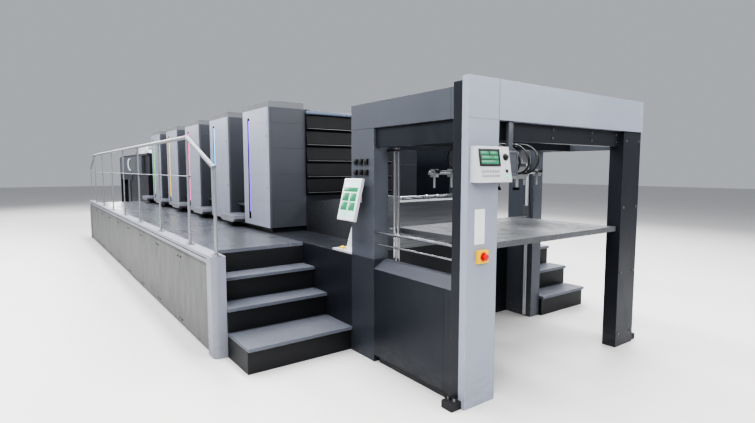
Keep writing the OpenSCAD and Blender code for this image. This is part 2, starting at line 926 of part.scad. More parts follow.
module delivery_frame() {
    color("#24262a")
        on_centre() {
            for (side = [-1, 1])
                scale_y(side) {
                    span(dx(60), dx(leg_d), hw - leg_w - 80, hw, 0, delivery_h - 60);
                    span(dx(8), dx(60), hw - leg_w, hw, 0, 30);
                    span(dx(leg_d), dx(bay_len), hw - 60, hw - 10, band_z, hood_z);
                    span(dx(column_x), dx(column_x + column_w + 20), hw - 280, hw - 60, 0, hood_z);
                    span(dx(column_x), dx(column_x + column_w / 2), hw - 60, hw - 10, 0, band_z);
                    span(dx(column_x + column_w), dx(bay_len), hw - 60, hw - 20, 0, band_z);
                    // Bearing plate of the brake roller
                    difference() {
                        span(dx(column_x + column_w - 120), dx(bay_len), hw - 290, hw - 260,
                            hood_z, delivery_h - 60);
                        rod_y(brake_x, hw - 300, hw - 250, brake_z, journal_r + run);
                    }
                    translate([wall_x, board_guide_y, 0])
                        mirror([1, 0, 0])
                            guide_rail(20, hood_z);
                }
            span(wall_x, dx(bay_len), -hw + 260, hw - 260, 0, hood_z);
        }
}

module delivery_hoods() {
    color("#6c7078")
        on_centre()
            for (side = [-1, 1])
                scale_y(side) {
                    span(dx(leg_d + 10), dx(delivery_len - 250), hw - 60, hw, hood_z,
                        delivery_h - 60);
                    span(dx(column_x + column_w / 2), dx(column_x + column_w), hw - 60, hw,
                        0, band_z);
                }
}

module delivery_body() {
    color("#2b2d31")
        on_centre() {
            span(dx(bay_len), dx(body_len), -hw, hw, 0, gallery_h);
            span(dx(bay_len), dx(body_len), -hw + 20, hw - 20, gallery_h, hood_z);
            span(dx(bay_len), dx(body_len), -hw + 60, hw - 60, hood_z, delivery_h - 60);
            span(dx(60), dx(body_len), -hw + 20, hw - 20, delivery_h - 60, delivery_h - 10);
        }
}

// Housing of the gripper chains where they rise from the coating unit: its lower end is
// cut square to the slope and overhangs the steps
module riser_hood() {
    s0 = delivery_run - 1900;
    nose = delivery_run - 140;
    top = delivery_h + 270;
    low = hood_z - 380;
    color("#7f93b5")
        on_centre()
            prism_y([[dx(s0), roof_z], [dx(s0 + 120), top], [dx(nose - 550), top],
                [dx(nose), top - 400], [dx(nose + 12), top - 440], [dx(body_len + 20), low],
                [dx(body_len), low], [dx(body_len), roof_z]], -deck_y, deck_y);
}

exhaust_len = 900;
exhaust_h = 170;
collar_r = 110;
collar_h = 120;
alarm_h = 190;

// What stands on the delivery's roof: the tapered exhaust hood with its duct collar, a
// switch box beside it, and the small alarm box at the end of the operator side
module roof_boxes() {
    x0 = dx(leg_d + 700);
    color("#d2d5da")
        on_centre() {
            translate([x0, 0, roof_z])
                prism_y([[0, 0], [exhaust_len, 0], [exhaust_len, exhaust_h * 0.45],
                    [exhaust_len * 0.62, exhaust_h], [exhaust_len * 0.2, exhaust_h],
                    [0, exhaust_h * 0.6]], -hw + 330, -hw + 930);
            translate([x0 + exhaust_len * 0.41, -hw + 630, roof_z + exhaust_h])
                difference() {
                    cylinder(h = collar_h, r = collar_r);
                    translate([0, 0, 12])
                        cylinder(h = collar_h, r = collar_r - 5);
                }
            translate([x0 + exhaust_len + 120, -hw + 130, roof_z])
                cube([340, 240, 105]);
            translate([dx(delivery_run - 1650), -hw + 30, roof_z])
                cube([200, 110, alarm_h]);
        }
}

board_guide_y = 480;

module delivery_pile_board() {
    y = hw - leg_w - 80 - 60;
    color("#3b3e43")
        on_centre() {
            span(dx(90), wall_x - shoe_d, -y, y, delivery_board_z - board_t, delivery_board_z);
            for (side = [-1, 1])
                translate([wall_x, side * board_guide_y, 0])
                    mirror([1, 0, 0])
                        guide_shoe(delivery_board_z);
        }
}

// Sheet brake roller: suction rings on a shaft
ring_n = 9;

module brake_roller() {
    half = hw - 310;
    pitch = 2 * half / ring_n;
    color("#c9ccd0")
        on_centre() {
            rod_y(brake_x, -half, half, brake_z, brake_r - 14);
            rod_y(brake_x, -hw + 268, hw - 268, brake_z, journal_r);
            for (k = [0 : ring_n - 1])
                rod_y(brake_x, -half + k * pitch + 12, -half + (k + 1) * pitch - 12, brake_z,
                    brake_r);
        }
}

// Cabinets and service boxes on the drive side

cabinet_s1 = 5400;
cabinet_s2 = 8700;
cabinet_s3 = 10200;
function cab_x(k) = [dx(cabinet_s1), dx(cabinet_s2), dx(cabinet_s3)][k];
handle_d = 20;
door_y = out_y - handle_d;
body_y = door_y - door_t - 6;
hinge_in = 12;
hinge_r = 10;
pin_r = 5;
hinge_zs = [plinth_h + 260, cabinet_h - 300];
knuckle_h = 80;

// Places its children at the hinge axis of one leaf, with the leaf towards +X
module at_hinge(k, side) {
    translate([cab_x(k), door_y - door_t / 2, 0])
        mirror([side < 0 ? 0 : 1, 0, 0])
            translate([-cabinet_w / 2 + hinge_in, 0, 0])
                children();
}

module cabinets() {
    color("#2a2c30")
        on_centre()
            for (k = [0 : 2]) {
                x0 = cab_x(k) - cabinet_w / 2;
                span(x0, x0 + cabinet_w, ds_y, body_y, 0, cabinet_h);
                span(x0, x0 + cabinet_w, body_y - 1, door_y, 0, plinth_h - 6);
                for (side = [-1, 1], z = hinge_zs)
                    at_hinge(k, side) {
                        for (end = [-12, knuckle_h + run])
                            span(-hinge_r, hinge_r, body_y - door_y + door_t / 2 - 1, 8,
                                z + end, z + end + 12 - run);
                        translate([0, 0, z - 6])
                            cylinder(h = knuckle_h + 12, r = pin_r);
                    }
            }
}

module cabinet_hoods() {
    color("#c3c6cb")
        on_centre()
            for (k = [0 : 2])
                translate([cab_x(k), 0, cabinet_h])
                    intersection() {
                        prism_y([[-cabinet_w / 2, 0], [cabinet_w / 2, 0],
                            [cabinet_w / 2 - 180, hood_h], [-cabinet_w / 2 + 180, hood_h]],
                            ds_y, out_y);
                        prism_x([[ds_y, 0], [door_y, 0], [door_y - 160, hood_h],
                            [ds_y, hood_h]], -cabinet_w / 2, cabinet_w / 2);
                    }
}

// One leaf of a cabinet's double door, with its knuckles and a bar handle
module cabinet_door(k, side) {
    leaf = cabinet_w / 2 - hinge_in - 3;
    t = door_t / 2;
    color("#b8bbc1")
        on_centre()
            at_hinge(k, side) {
                span(hinge_r + 4, leaf, -t, t, plinth_h, cabinet_h - 8);
                for (z = hinge_zs) {
                    difference() {
                        union() {
                            translate([0, 0, z])
                                cylinder(h = knuckle_h, r = hinge_r);
                            span(0, hinge_r + 5, -t / 3, t / 3, z, z + knuckle_h);
                        }
                        translate([0, 0, z - 1])
                            cylinder(h = knuckle_h + 2, r = pin_r + run);
                    }
                }
                span(leaf - 60, leaf - 30, t, t + handle_d, 1080, 1300);
            }
}

module cabinet_door_1a() { cabinet_door(0, -1); }
module cabinet_door_1b() { cabinet_door(0, 1); }
module cabinet_door_2a() { cabinet_door(1, -1); }
module cabinet_door_2b() { cabinet_door(1, 1); }
module cabinet_door_3a() { cabinet_door(2, -1); }
module cabinet_door_3b() { cabinet_door(2, 1); }

spigot_r = 150;
spigot_h = 160;
air_box_len = 1320;
air_box_h = 550;
spigot_s1 = 860;
spigot_s2 = 380;
spigot_y = 400;
water_box_len = 900;
water_box_d = 520;
water_box_h = 900;

// Low air box with the two stubs its ducts are fixed on, and a peripheral box
module service_boxes() {
    x1 = cab_x(0) - cabinet_w / 2 - 40;
    color("#26282c")
        on_centre() {
            span(x1 - air_box_len, x1, ds_y, door_y, 0, air_box_h);
            for (x = [x1 - spigot_s1, x1 - spigot_s2])
                translate([x, ds_y + spigot_y, air_box_h])
                    difference() {
                        cylinder(h = spigot_h, r = spigot_r);
                        translate([0, 0, 20])
                            cylinder(h = spigot_h, r = spigot_r - 6);
                    }
            span(cab_x(1) - cabinet_w / 2 - 100 - water_box_len, cab_x(1) - cabinet_w / 2 - 100,
                ds_y, ds_y + water_box_d, 0, water_box_h);
        }
}

machine_bed();
unit_bodies();
os_covers();
unit_lights();
unit_trays();
louvred_guards();
roller_covers();
ink_fountains();
ink_roller_1();
ink_roller_2();
ink_roller_3();
ink_roller_4();
ds_covers();
unit_steps();
cylinder_covers();
feeder_portal();
feeder_posts();
feeder_os_wall();
feeder_columns();
feeder_suction_head();
feeder_pile_board();
feeder_touch_screen();
feed_table();
control_panels();
os_gallery();
os_skirt();
gallery_rims();
railings();
gallery_stairs();
ds_gallery();
delivery_portal();
delivery_frame();
delivery_hoods();
delivery_body();
roof_boxes();
riser_hood();
delivery_pile_board();
brake_roller();
cabinets();
cabinet_hoods();
cabinet_door_1a();
cabinet_door_1b();
cabinet_door_2a();
cabinet_door_2b();
cabinet_door_3a();
cabinet_door_3b();
service_boxes();
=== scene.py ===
"""Dresses the offset printing press: paint, inks, screens, fittings and a plain studio."""

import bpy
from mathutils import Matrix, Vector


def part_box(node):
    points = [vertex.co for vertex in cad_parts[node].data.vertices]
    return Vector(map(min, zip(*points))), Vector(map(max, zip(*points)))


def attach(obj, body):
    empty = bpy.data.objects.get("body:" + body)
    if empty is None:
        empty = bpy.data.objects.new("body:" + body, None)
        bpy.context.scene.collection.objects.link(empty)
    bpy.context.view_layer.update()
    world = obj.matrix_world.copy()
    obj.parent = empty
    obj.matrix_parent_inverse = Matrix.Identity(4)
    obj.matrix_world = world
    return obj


bl_info = {
    "name": "Offset printing press",
    "version": (1, 0, 0),
    "blender": (4, 5, 0),
    "location": "View3D > Sidebar > Press",
    "description": "Paints and fits out an offset printing press around its packed frame",
    "category": "Object",
}

import math

import bpy
from mathutils import Matrix, Vector

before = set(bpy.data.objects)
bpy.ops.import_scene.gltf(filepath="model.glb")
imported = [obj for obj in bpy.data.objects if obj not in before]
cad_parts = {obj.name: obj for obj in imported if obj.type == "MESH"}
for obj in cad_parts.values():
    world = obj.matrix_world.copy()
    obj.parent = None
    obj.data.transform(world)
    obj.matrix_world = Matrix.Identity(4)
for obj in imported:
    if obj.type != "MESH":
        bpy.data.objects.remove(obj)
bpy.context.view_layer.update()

# Places on the press, in metres: middle line, operator side (OS) and drive side (DS) faces
MID = -0.2
OS = MID - 1.15
DS = MID + 1.15
UNIT_PITCH = 1.4
UNITS = [3.45, 2.05, 0.65, -0.75, -2.15]
UNIT_SHIFTS = [(-UNIT_PITCH * k, 0, 0) for k in range(5)]
INKED = UNIT_SHIFTS[:4]
HALF_COVER = 0.42
COVER_EDGE = UNITS[0] - HALF_COVER
STEP_MIDDLE = HALF_COVER + 0.28
INK_ZONE = 0.054
CABINETS = [-1.67, 1.63, 3.13]
DOOR_FACE = 2.43
RAIL_OS = -2.39
RAIL_DS = 1.69
SKIRT_PITCH = 1.00889


# Modelling helpers


def mode(name):
    """Into edit mode or back to object mode."""
    bpy.ops.object.mode_set(mode=name)


def deselect():
    """Back to object mode with nothing selected."""
    if bpy.context.mode != "OBJECT":
        mode("OBJECT")
    bpy.ops.object.select_all(action="DESELECT")


def choose(piece):
    """Makes the piece the only selected and the active one."""
    deselect()
    piece.select_set(True)
    bpy.context.view_layer.objects.active = piece
    return piece


def settle(piece):
    """Moves the piece's place, turn and size into its mesh."""
    choose(piece)
    bpy.ops.object.transform_apply(location=True, rotation=True, scale=True)
    return piece


def stand(piece, matrix):
    """Moves the piece by the matrix, for good."""
    piece.matrix_world = matrix
    return settle(piece)


def apply_modifier(piece, kind, **values):
    """Adds one modifier, sets it and applies it."""
    choose(piece)
    modifier = piece.modifiers.new("Shape", kind)
    for key, value in values.items():
        setattr(modifier, key, value)
    bpy.ops.object.modifier_apply(modifier=modifier.name)
    return piece


def block(low, high, edge=0.003, segments=2):
    """A block between two corners with rounded edges."""
    low, high = Vector(low), Vector(high)
    deselect()
    bpy.ops.mesh.primitive_cube_add(size=1, location=(low + high) / 2)
    piece = bpy.context.active_object
    piece.scale = high - low
    return apply_modifier(settle(piece), "BEVEL", width=edge, segments=segments, limit_method="ANGLE",
        angle_limit=math.radians(30), harden_normals=False)


def tile(half_width, half_height, depth, edge=0.0004, segments=2):
    """A flat block that faces +Z, round its middle."""
    return block((-half_width, -half_height, 0), (half_width, half_height, depth), edge, segments)


def select_faces(piece, way):
    """Goes into edit mode with the faces selected that look that way: +Z, -X or, either way, Y."""
    choose(piece)
    mode("EDIT")
    bpy.ops.mesh.select_mode(type="FACE")
    bpy.ops.mesh.select_all(action="DESELECT")
    mode("OBJECT")
    axis, sign = "XYZ".index(way[-1]), {"+": 1, "-": -1}.get(way[0])
    for face in piece.data.polygons:
        along = face.normal[axis]
        face.select = (along * sign if sign else abs(along)) > 0.99
    mode("EDIT")


def sink(piece, way, margin, depth):
    """Insets the faces that look that way by the margin and pushes them in by the depth."""
    select_faces(piece, way)
    bpy.ops.mesh.inset(thickness=margin, depth=0)
    bpy.ops.mesh.inset(thickness=min(margin, abs(depth)) * 0.25, depth=-depth)
    mode("OBJECT")
    return piece


TURNS = {"Z": (0, "X"), "-Z": (180, "X"), "X": (90, "Y"), "Y": (-90, "X")}


def turned(profile, place=(0, 0, 0), axis="Z", sides=24):
    """A turned part: a disc extruded and resized along the profile of (height, radius)."""
    deselect()
    height, radius = profile[0]
    bpy.ops.mesh.primitive_circle_add(vertices=sides, radius=radius, fill_type="NGON", location=(0, 0, height))
    piece = settle(bpy.context.active_object)
    mode("EDIT")
    bpy.ops.mesh.select_all(action="SELECT")
    for next_height, next_radius in profile[1:]:
        bpy.ops.mesh.extrude_region_move(TRANSFORM_OT_translate={"value": (0, 0, next_height - height)})
        scale = next_radius / radius
        bpy.ops.transform.resize(value=(scale, scale, 1), center_override=(0, 0, next_height))
        height, radius = next_height, next_radius
    bpy.ops.mesh.select_all(action="SELECT")
    bpy.ops.mesh.normals_make_consistent(inside=False)
    mode("OBJECT")
    angle, about = TURNS[axis]
    return stand(piece, Matrix.Translation(Vector(place)) @ Matrix.Rotation(math.radians(angle), 4, about))


def tube(points, radius, sides=10, smooth=True):
    """A tube along points: a curve with a round section, made a mesh."""
    deselect()
    data = bpy.data.curves.new("tube", "CURVE")
    data.dimensions = "3D"
    spline = data.splines.new("NURBS" if smooth else "POLY")
    spline.points.add(len(points) - 1)
    for point, place in zip(spline.points, points):
        point.co = (*place, 1)
    if smooth:
        spline.order_u = 4
        spline.use_endpoint_u = True
        data.resolution_u = 4
    data.bevel_depth = radius
    data.bevel_resolution = max(1, sides // 4 - 1)
    data.use_fill_caps = True
    piece = bpy.data.objects.new("tube", data)
    bpy.context.scene.collection.objects.link(piece)
    choose(piece)
    bpy.ops.object.convert(target="MESH")
    return settle(bpy.context.active_object)


def joined(pieces):
    """Joins pieces to one mesh."""
    deselect()
    for piece in pieces:
        piece.select_set(True)
    bpy.context.view_layer.objects.active = pieces[0]
    if len(pieces) > 1:
        bpy.ops.object.join()
    return settle(bpy.context.active_object)


def copied(piece, places):
    """One copy of the piece at each place, joined; the piece itself goes."""
    copies = []
    for place in places:
        copy = piece.copy()
        copy.data = piece.data.copy()
        bpy.context.scene.collection.objects.link(copy)
        copy.matrix_world = Matrix.Translation(Vector(place))
        copies.append(copy)
    bpy.data.objects.remove(piece)
    return joined(copies)


def in_row(piece, count, step):
    """Repeats the piece in a straight row."""
    return apply_modifier(piece, "ARRAY", count=count, use_relative_offset=False, use_constant_offset=True,
        constant_offset_displace=step)


def finished(piece, name, look, body="press", angle=35, at=None):
    """Copies the piece to its places, cleans, shades, names and paints it, and puts it on its body."""
    piece = settle(copied(piece, at) if at else piece)
    mode("EDIT")
    bpy.ops.mesh.select_all(action="SELECT")
    bpy.ops.mesh.remove_doubles(threshold=0.00001)
    bpy.ops.mesh.normals_make_consistent(inside=False)
    mode("OBJECT")
    bpy.ops.object.shade_smooth_by_angle(angle=math.radians(angle))
    piece.name = piece.data.name = name
    piece.data.materials.clear()
    piece.data.materials.append(stock(look))
    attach(piece, body)
    deselect()
    return piece


# Material helpers


class Finish:
    """A procedural material in the making: its node tree, shader and object coordinates."""

    def __init__(self, name, colour, rough=0.4, metal=0.0, **fixed):
        self.material = bpy.data.materials.new(name)
        self.material.use_nodes = True
        self.tree = self.material.node_tree
        self.shader = self.tree.nodes["Principled BSDF"]
        for key, value in {"Roughness": rough, "Metallic": metal, **fixed}.items():
            self.shader.inputs[key.replace("_", " ")].default_value = value
        self.place = self.tree.nodes.new("ShaderNodeTexCoord").outputs["Object"]
        self.normal = self.tree.nodes.new("ShaderNodeNewGeometry").outputs["Normal"]
        self.colour = self.tree.nodes.new("ShaderNodeRGB").outputs[0]
        self.colour.default_value = (*colour, 1)
        self.rough = self.base_rough = rough
        self.height = self.soft_normal = None

    def add(self, kind, options=None, **links):
        """A node; each input, by name or as i and its number, takes a socket, a value or a colour."""
        made = self.tree.nodes.new(kind)
        for key, value in (options or {}).items():
            setattr(made, key, value)
        for key, value in links.items():
            target = made.inputs[int(key[1:]) if key[1:].isdigit() else key.replace("_", " ")]
            if isinstance(value, bpy.types.NodeSocket):
                self.tree.links.new(value, target)
            else:
                target.default_value = (*value, 1) if target.type == "RGBA" else value
        return made

    def math(self, operation, a, b=0.0):
        return self.add("ShaderNodeMath", {"operation": operation}, i0=a, i1=b).outputs[0]

    def axis(self, index):
        """One coordinate of the place on the object, in metres."""
        return self.add("ShaderNodeSeparateXYZ", Vector=self.place).outputs[index]

    def facing(self, index):
        """One part of the face's normal."""
        return self.add("ShaderNodeSeparateXYZ", Vector=self.normal).outputs[index]

    def noise(self, scale, detail=3.0, rough=0.5, stretch=None):
        """Noise from 0 to 1, stretched along an axis where stretch says so."""
        place = self.add("ShaderNodeMapping", Vector=self.place,
            Scale=stretch).outputs[0] if stretch else self.place
        return self.add("ShaderNodeTexNoise", Vector=place, Scale=scale, Detail=detail,
            Roughness=rough).outputs["Fac"]

    def between(self, value, low, high):
        """The value brought from the range low..high to 0..1."""
        return self.add("ShaderNodeMapRange", Value=value, From_Min=low, From_Max=high).outputs["Result"]

    def below(self, index, limit):
        """1 where that coordinate is less than the limit."""
        return self.math("LESS_THAN", self.axis(index), limit)

    def above(self, index, limit):
        return self.math("GREATER_THAN", self.axis(index), limit)

    def within(self, value, low, high):
        """1 where a value, or the coordinate of that number, lies between two values."""
        value = self.axis(value) if isinstance(value, int) else value
        return self.both(self.math("GREATER_THAN", value, low), self.math("LESS_THAN", value, high))

    def zone(self, low, high, x=0):
        """1 inside a box of the object; x may be a value that stands in for the place along the press."""
        return self.both(*[self.within(index or x, low[index], high[index]) for index in range(3)])

    def repeated(self, index, period, start):
        """A coordinate that starts again at each period."""
        return self.math("MODULO", self.math("ADD", self.axis(index), 40 * period - start), period)

    def along_unit(self):
        """The place along the press, counted from the middle of the nearest unit."""
        half = UNIT_PITCH / 2
        return self.math("SUBTRACT", self.repeated(0, UNIT_PITCH, UNITS[4] - half), half)

    def faces(self, index, sign=1):
        """1 on faces that look along that axis."""
        return self.math("GREATER_THAN", self.both(self.facing(index), sign), 0.7)

    def both(self, mask, *others):
        for other in others:
            mask = self.math("MULTIPLY", mask, other)
        return mask

    def either(self, mask, *others):
        for other in others:
            mask = self.math("MAXIMUM", mask, other)
        return mask

    def outside(self, mask):
        return self.math("SUBTRACT", 1.0, mask)

    def paint(self, mask, colour, rough=None):
        """Lays a colour over the mask."""
        mix = self.add("ShaderNodeMix", {"data_type": "RGBA"}, i0=mask, i6=self.colour, i7=colour)
        self.colour = mix.outputs[2]
        return self if rough is None else self.roughen(mask, rough)

    def roughen(self, mask, rough):
        """Brings the roughness to a value over the mask."""
        self.rough = self.add("ShaderNodeMix", i0=mask, i2=self.rough, i3=rough).outputs[0]
        return self

    def shaded(self, mask, amount):
        """Darkens (below 1) or brightens (above 1) the colour over the mask."""
        self.colour = self.add("ShaderNodeHueSaturation", Color=self.colour, Fac=mask, Value=amount).outputs[0]
        return self

    def mottled(self, scale=1.4, amount=0.07, rough_amount=0.1):
        """Slow changes of tone and of gloss, as on sprayed and wiped sheet metal."""
        self.shaded(self.between(self.noise(scale, 4.0, 0.55), 0.35, 0.65), 1 - amount)
        smear = self.noise(scale * 6, 5.0, 0.6, stretch=(1, 1, 0.35))
        return self.roughen(self.between(smear, 0.4, 0.7), self.base_rough + rough_amount)

    def dusty(self, amount, colour=(0.42, 0.41, 0.39)):
        """Dust that lies on what faces up."""
        up = self.between(self.facing(2), 0.6, 1.0)
        drift = self.between(self.noise(1.7, 3.0, 0.5), 0.25, 0.8)
        grains = self.both(self.between(self.noise(230, 2.0, 0.5), 0.45, 0.75), 0.5)
        cover = self.both(drift, self.math("ADD", grains, 0.5))
        return self.paint(self.both(up, cover, amount), colour, 0.6)

    def ribbed(self, mask, index, pitch=0.022):
        """Narrow grooves at that pitch, as in the tread sheet of galleries and steps, darkened with painted shade."""
        shaded_grooves = self.both(mask, self.math("LESS_THAN", self.repeated(index, pitch, 0), 0.005))
        # The grooves are painted darker, which is painted shade in them, besides their small relief.
        return self.shaded(shaded_grooves, 0.55).raise_by(self.outside(shaded_grooves), 0.0012)

    def scuffed_low(self, top, amount, colour=(0.16, 0.15, 0.14)):
        """Floor dirt and kick marks that fade out upwards."""
        low = self.between(self.axis(2), top, 0.0)
        marks = self.between(self.noise(14, 5.0, 0.7, stretch=(0.6, 0.6, 1.6)), 0.42, 0.62)
        return self.paint(self.both(low, marks, amount), colour, 0.7)

    def worn_edges(self, colour, radius=0.004, amount=0.6):
        """Softens the edges of a sheet and rubs its paint thin there."""
        self.soft_normal = self.add("ShaderNodeBevel", {"samples": 4}, Radius=radius).outputs[0]
        dot = self.add("ShaderNodeVectorMath", {"operation": "DOT_PRODUCT"}, i0=self.soft_normal,
            i1=self.normal)
        edge = self.between(dot.outputs["Value"], 0.985, 0.86)
        chips = self.between(self.noise(34, 4.0, 0.6), 0.45, 0.62)
        return self.paint(self.both(edge, chips, amount), colour)

    def raise_by(self, value, metres):
        """Adds a relief of that height to the bump."""
        high = self.both(value, metres)
        self.height = self.math("ADD", self.height, high) if self.height else high
        return self

    def grained(self):
        """The fine grain of powder paint."""
        return self.raise_by(self.noise(420, 2.0, 0.5), 0.00012)

    def seams(self, index, places, width=0.004, low=None, high=None, dark=0.25):
        """Narrow joints between sheets, across an axis or a value, within a zone where given."""
        value = self.axis(index) if isinstance(index, int) else index
        mask = self.either(*[self.within(value, place - width / 2, place + width / 2) for place in places])
        if low:
            mask = self.both(mask, self.zone(low, high))
        return self.shaded(mask, dark).raise_by(self.outside(mask), 0.002)

    def glowing(self, strength):
        """Lets the colour shine."""
        self.tree.links.new(self.colour, self.shader.inputs["Emission Color"])
        self.shader.inputs["Emission Strength"].default_value = strength
        return self

    def done(self):
        """Links colour, roughness and relief to the shader."""
        normal = self.soft_normal
        if self.height:
            bump = self.add("ShaderNodeBump", Height=self.height, Distance=1.0, Strength=1.0)
            if normal:
                self.tree.links.new(normal, bump.inputs["Normal"])
            normal = bump.outputs[0]
        for key, socket in (("Base Color", self.colour), ("Roughness", self.rough), ("Normal", normal)):
            if isinstance(socket, bpy.types.NodeSocket):
                self.tree.links.new(socket, self.shader.inputs[key])
        return self.material

    def coat(self, *nodes):
        """Gives the material to CAD nodes."""
        material = self.done()
        for name in nodes:
            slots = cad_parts[name].data.materials
            if not slots:
                slots.append(material)
            for index in range(len(slots)):
                slots[index] = material


def sheet_paint(name, colour, rough=0.36, top=0.28, wear=(0.5, 0.51, 0.54), dust=0.2):
    """Sprayed sheet metal with worn edges, dust on top and dirt near the floor."""
    return Finish(name, colour, rough).mottled().dusty(dust).scuffed_low(top, 0.35).worn_edges(wear).grained()


def dark_paint(name, colour=None, rough=0.34):
    """The anthracite paint of frames and housings."""
    finish = Finish(name, colour or paints().body, rough, Specular_IOR_Level=0.4)
    finish.mottled(1.4, 0.12).dusty(0.16, (0.2, 0.2, 0.2)).scuffed_low(0.25, 0.3, (0.11, 0.105, 0.1))
    return finish.worn_edges((0.16, 0.17, 0.19), amount=0.5).grained()


# Finishes of the small pieces, each mixed when it is first used


def plain(name, colour, rough, metal=0.0, tone=0.1, edges=True):
    finish = Finish(name, colour, rough, metal)
    if metal:
        return finish.mottled(2, tone * 0.5, 0.03)
    finish.mottled(5, tone, 0.08)
    return finish.worn_edges([min(1, c * 1.8 + 0.02) for c in colour], 0.0012, 0.5) if edges else finish


def lit(name, colour, strength):
    return Finish(name, colour, 0.25).mottled(12, 0.15, 0.0).glowing(strength)


def ink(name, colour):
    """Ink: a thick glossy paste, with a slow ripple."""
    paste = Finish(name, colour, 0.22, Specular_IOR_Level=0.15)
    return paste.raise_by(paste.noise(14, 2.0, 0.5, stretch=(1, 0.3, 1)), 0.0016).mottled(4, 0.1, 0.05)


def perforated(name, colour, pitch, radius):
    """Sheet with a close grid of round holes, painted near-black as painted shade seen through them."""
    sheet = Finish(name, colour, 0.42).mottled(1.5, 0.1)
    across, high = (sheet.math("SUBTRACT", sheet.repeated(index, pitch, 0), pitch / 2) for index in (0, 2))
    away = sheet.math("SQRT", sheet.math("ADD", sheet.both(across, across), sheet.both(high, high)))
    shaded_hole = sheet.math("LESS_THAN", away, radius)
    # The holes on faces that look +Y are painted near-black, which is painted shade behind the sheet.
    sheet.paint(sheet.both(shaded_hole, sheet.faces(1)), (0.012, 0.013, 0.016), 0.8)
    return sheet.raise_by(sheet.outside(shaded_hole), 0.002)


STOCK = {
    "black_plastic": (plain, (0.014, 0.014, 0.016), 0.4),
    "black_rubber": (plain, (0.01, 0.01, 0.01), 0.65),
    "hose_rubber": (plain, (0.012, 0.012, 0.013), 0.36, 0.0, 0.1, False),
    "bright_steel": (plain, (0.55, 0.56, 0.58), 0.24, 1.0),
    "screw_steel": (plain, (0.22, 0.225, 0.235), 0.34, 1.0),
    "dark_steel": (plain, (0.05, 0.052, 0.058), 0.36, 0.8),
    "aluminium": (plain, (0.5, 0.51, 0.53), 0.36, 1.0),
    "white_plastic": (plain, (0.62, 0.63, 0.64), 0.35, 0.0, 0.05),
    "panel_grey": (plain, (0.3, 0.31, 0.335), 0.4),
    "cover_trim": (plain, (0.22, 0.23, 0.265), 0.35),
    "mid_trim": (plain, (0.075, 0.08, 0.095), 0.35),
    "screen_green": (lit, (0.03, 0.16, 0.085), 0.7),
    "screen_light": (lit, (0.4, 0.58, 0.5), 0.55),
    "green_lens": (lit, (0.05, 0.6, 0.27), 1.0),
    "white_lens": (lit, (0.75, 0.8, 0.8), 0.6),
    "yellow_lens": (lit, (0.95, 0.75, 0.12), 0.9),
    "red_button": (plain, (0.55, 0.015, 0.012), 0.3),
    "yellow_button": (plain, (0.75, 0.5, 0.03), 0.35),
    "safety_yellow": (plain, (0.7, 0.42, 0.02), 0.5, 0.0, 0.25),
    "brown_disc": (plain, (0.2, 0.06, 0.035), 0.45),
    "yellow_ink": (ink, (0.6, 0.4, 0.002)),
    "magenta_ink": (ink, (0.36, 0.004, 0.014)),
    "blue_ink": (ink, (0.007, 0.018, 0.2)),
    "black_ink": (ink, (0.006, 0.006, 0.009)),
    "perforated_sheet": (perforated, (0.18, 0.188, 0.215), 0.0125, 0.0042),
}


def stock(name):
    """The finish of that name."""
    if name in bpy.data.materials:
        return bpy.data.materials[name]
    mix, *values = STOCK[name]
    return mix(name, *values).done()


# Modelled pieces


WAYS = {
    "-Y": ((1, 0, 0), (0, 0, 1)),
    "+Y": ((-1, 0, 0), (0, 0, 1)),
    "+X": ((0, 1, 0), (0, 0, 1)),
    "-X": ((0, -1, 0), (0, 0, 1)),
    "+Z": ((1, 0, 0), (0, 1, 0)),
}


def face_on(origin, right, up):
    """The matrix that stands a piece, modelled flat and facing +Z, on a face of the press."""
    right, up = Vector(right).normalized(), Vector(up).normalized()
    matrix = Matrix((right, up, right.cross(up))).transposed().to_4x4()
    matrix.translation = Vector(origin)
    return matrix


def put(piece, origin, way):
    """Stands the piece on a face that looks that way."""
    return stand(piece, face_on(origin, *WAYS[way]))


def plate(width, height, depth=0.006, margin=0.012, sunk=0.003, edge=0.002):
    """A plate that faces +Z, with a raised margin round its middle."""
    return sink(tile(width / 2, height / 2, depth, edge), "+Z", margin, sunk)


def screw(radius):
    """A cap screw that faces +Z, with a socket."""
    head = turned([(0, radius), (radius * 0.6, radius), (radius * 0.75, radius * 0.84)], sides=10)
    return sink(head, "+Z", radius * 0.4, radius * 0.35)


def button(radius, height):
    """A push button that faces +Z: its ring and its domed cap."""
    rings = [(0, 1.35), (0.3, 1.3), (0.35, 1.05), (0.8, 1), (1, 0.8)]
    return turned([(height * h, radius * r) for h, r in rings], sides=20)


def lock(radius):
    """A round quarter-turn lock that faces +Z, with its slot ring."""
    rings = [(0, 1), (0.004, 1), (0.005, 0.86), (0.003, 0.6), (0.004, 0.2)]
    return turned([(h, radius * r) for h, r in rings], sides=20)


def grab(length, depth, radius):
    """A grab handle along X that faces +Z."""
    side = [(0.5, 0), (0.5, 0.6), (0.47, 1)]
    bends = [(-a, d) for a, d in side] + [(0, 1.05)] + side[::-1]
    return tube([(length * a, 0, depth * d) for a, d in bends], radius, 12)


# Settings


def colour_setting(name, description, default):
    return bpy.props.FloatVectorProperty(name=name, description=description, subtype="COLOR", default=default,
        size=3)


class PressPaints(bpy.types.PropertyGroup):
    """Main paints of the press."""

    cover: colour_setting("Covers", "Light grey of the covers", (0.262, 0.28, 0.338))
    # Laid on every cover face that looks +X.
    flank: colour_setting("Cover flanks", "Mid grey of the covers' feeder side", (0.05, 0.053, 0.064))
    hood: colour_setting("Hoods", "Mid grey of hoods and columns", (0.07, 0.077, 0.093))
    body: colour_setting("Bodies", "Anthracite of frames and housings", (0.0165, 0.0185, 0.0245))
    blue: colour_setting("Roller covers", "Blue-grey of the covers over rollers", (0.1, 0.125, 0.18))
    tread: colour_setting("Treads", "Grey of the treads", (0.105, 0.115, 0.142))


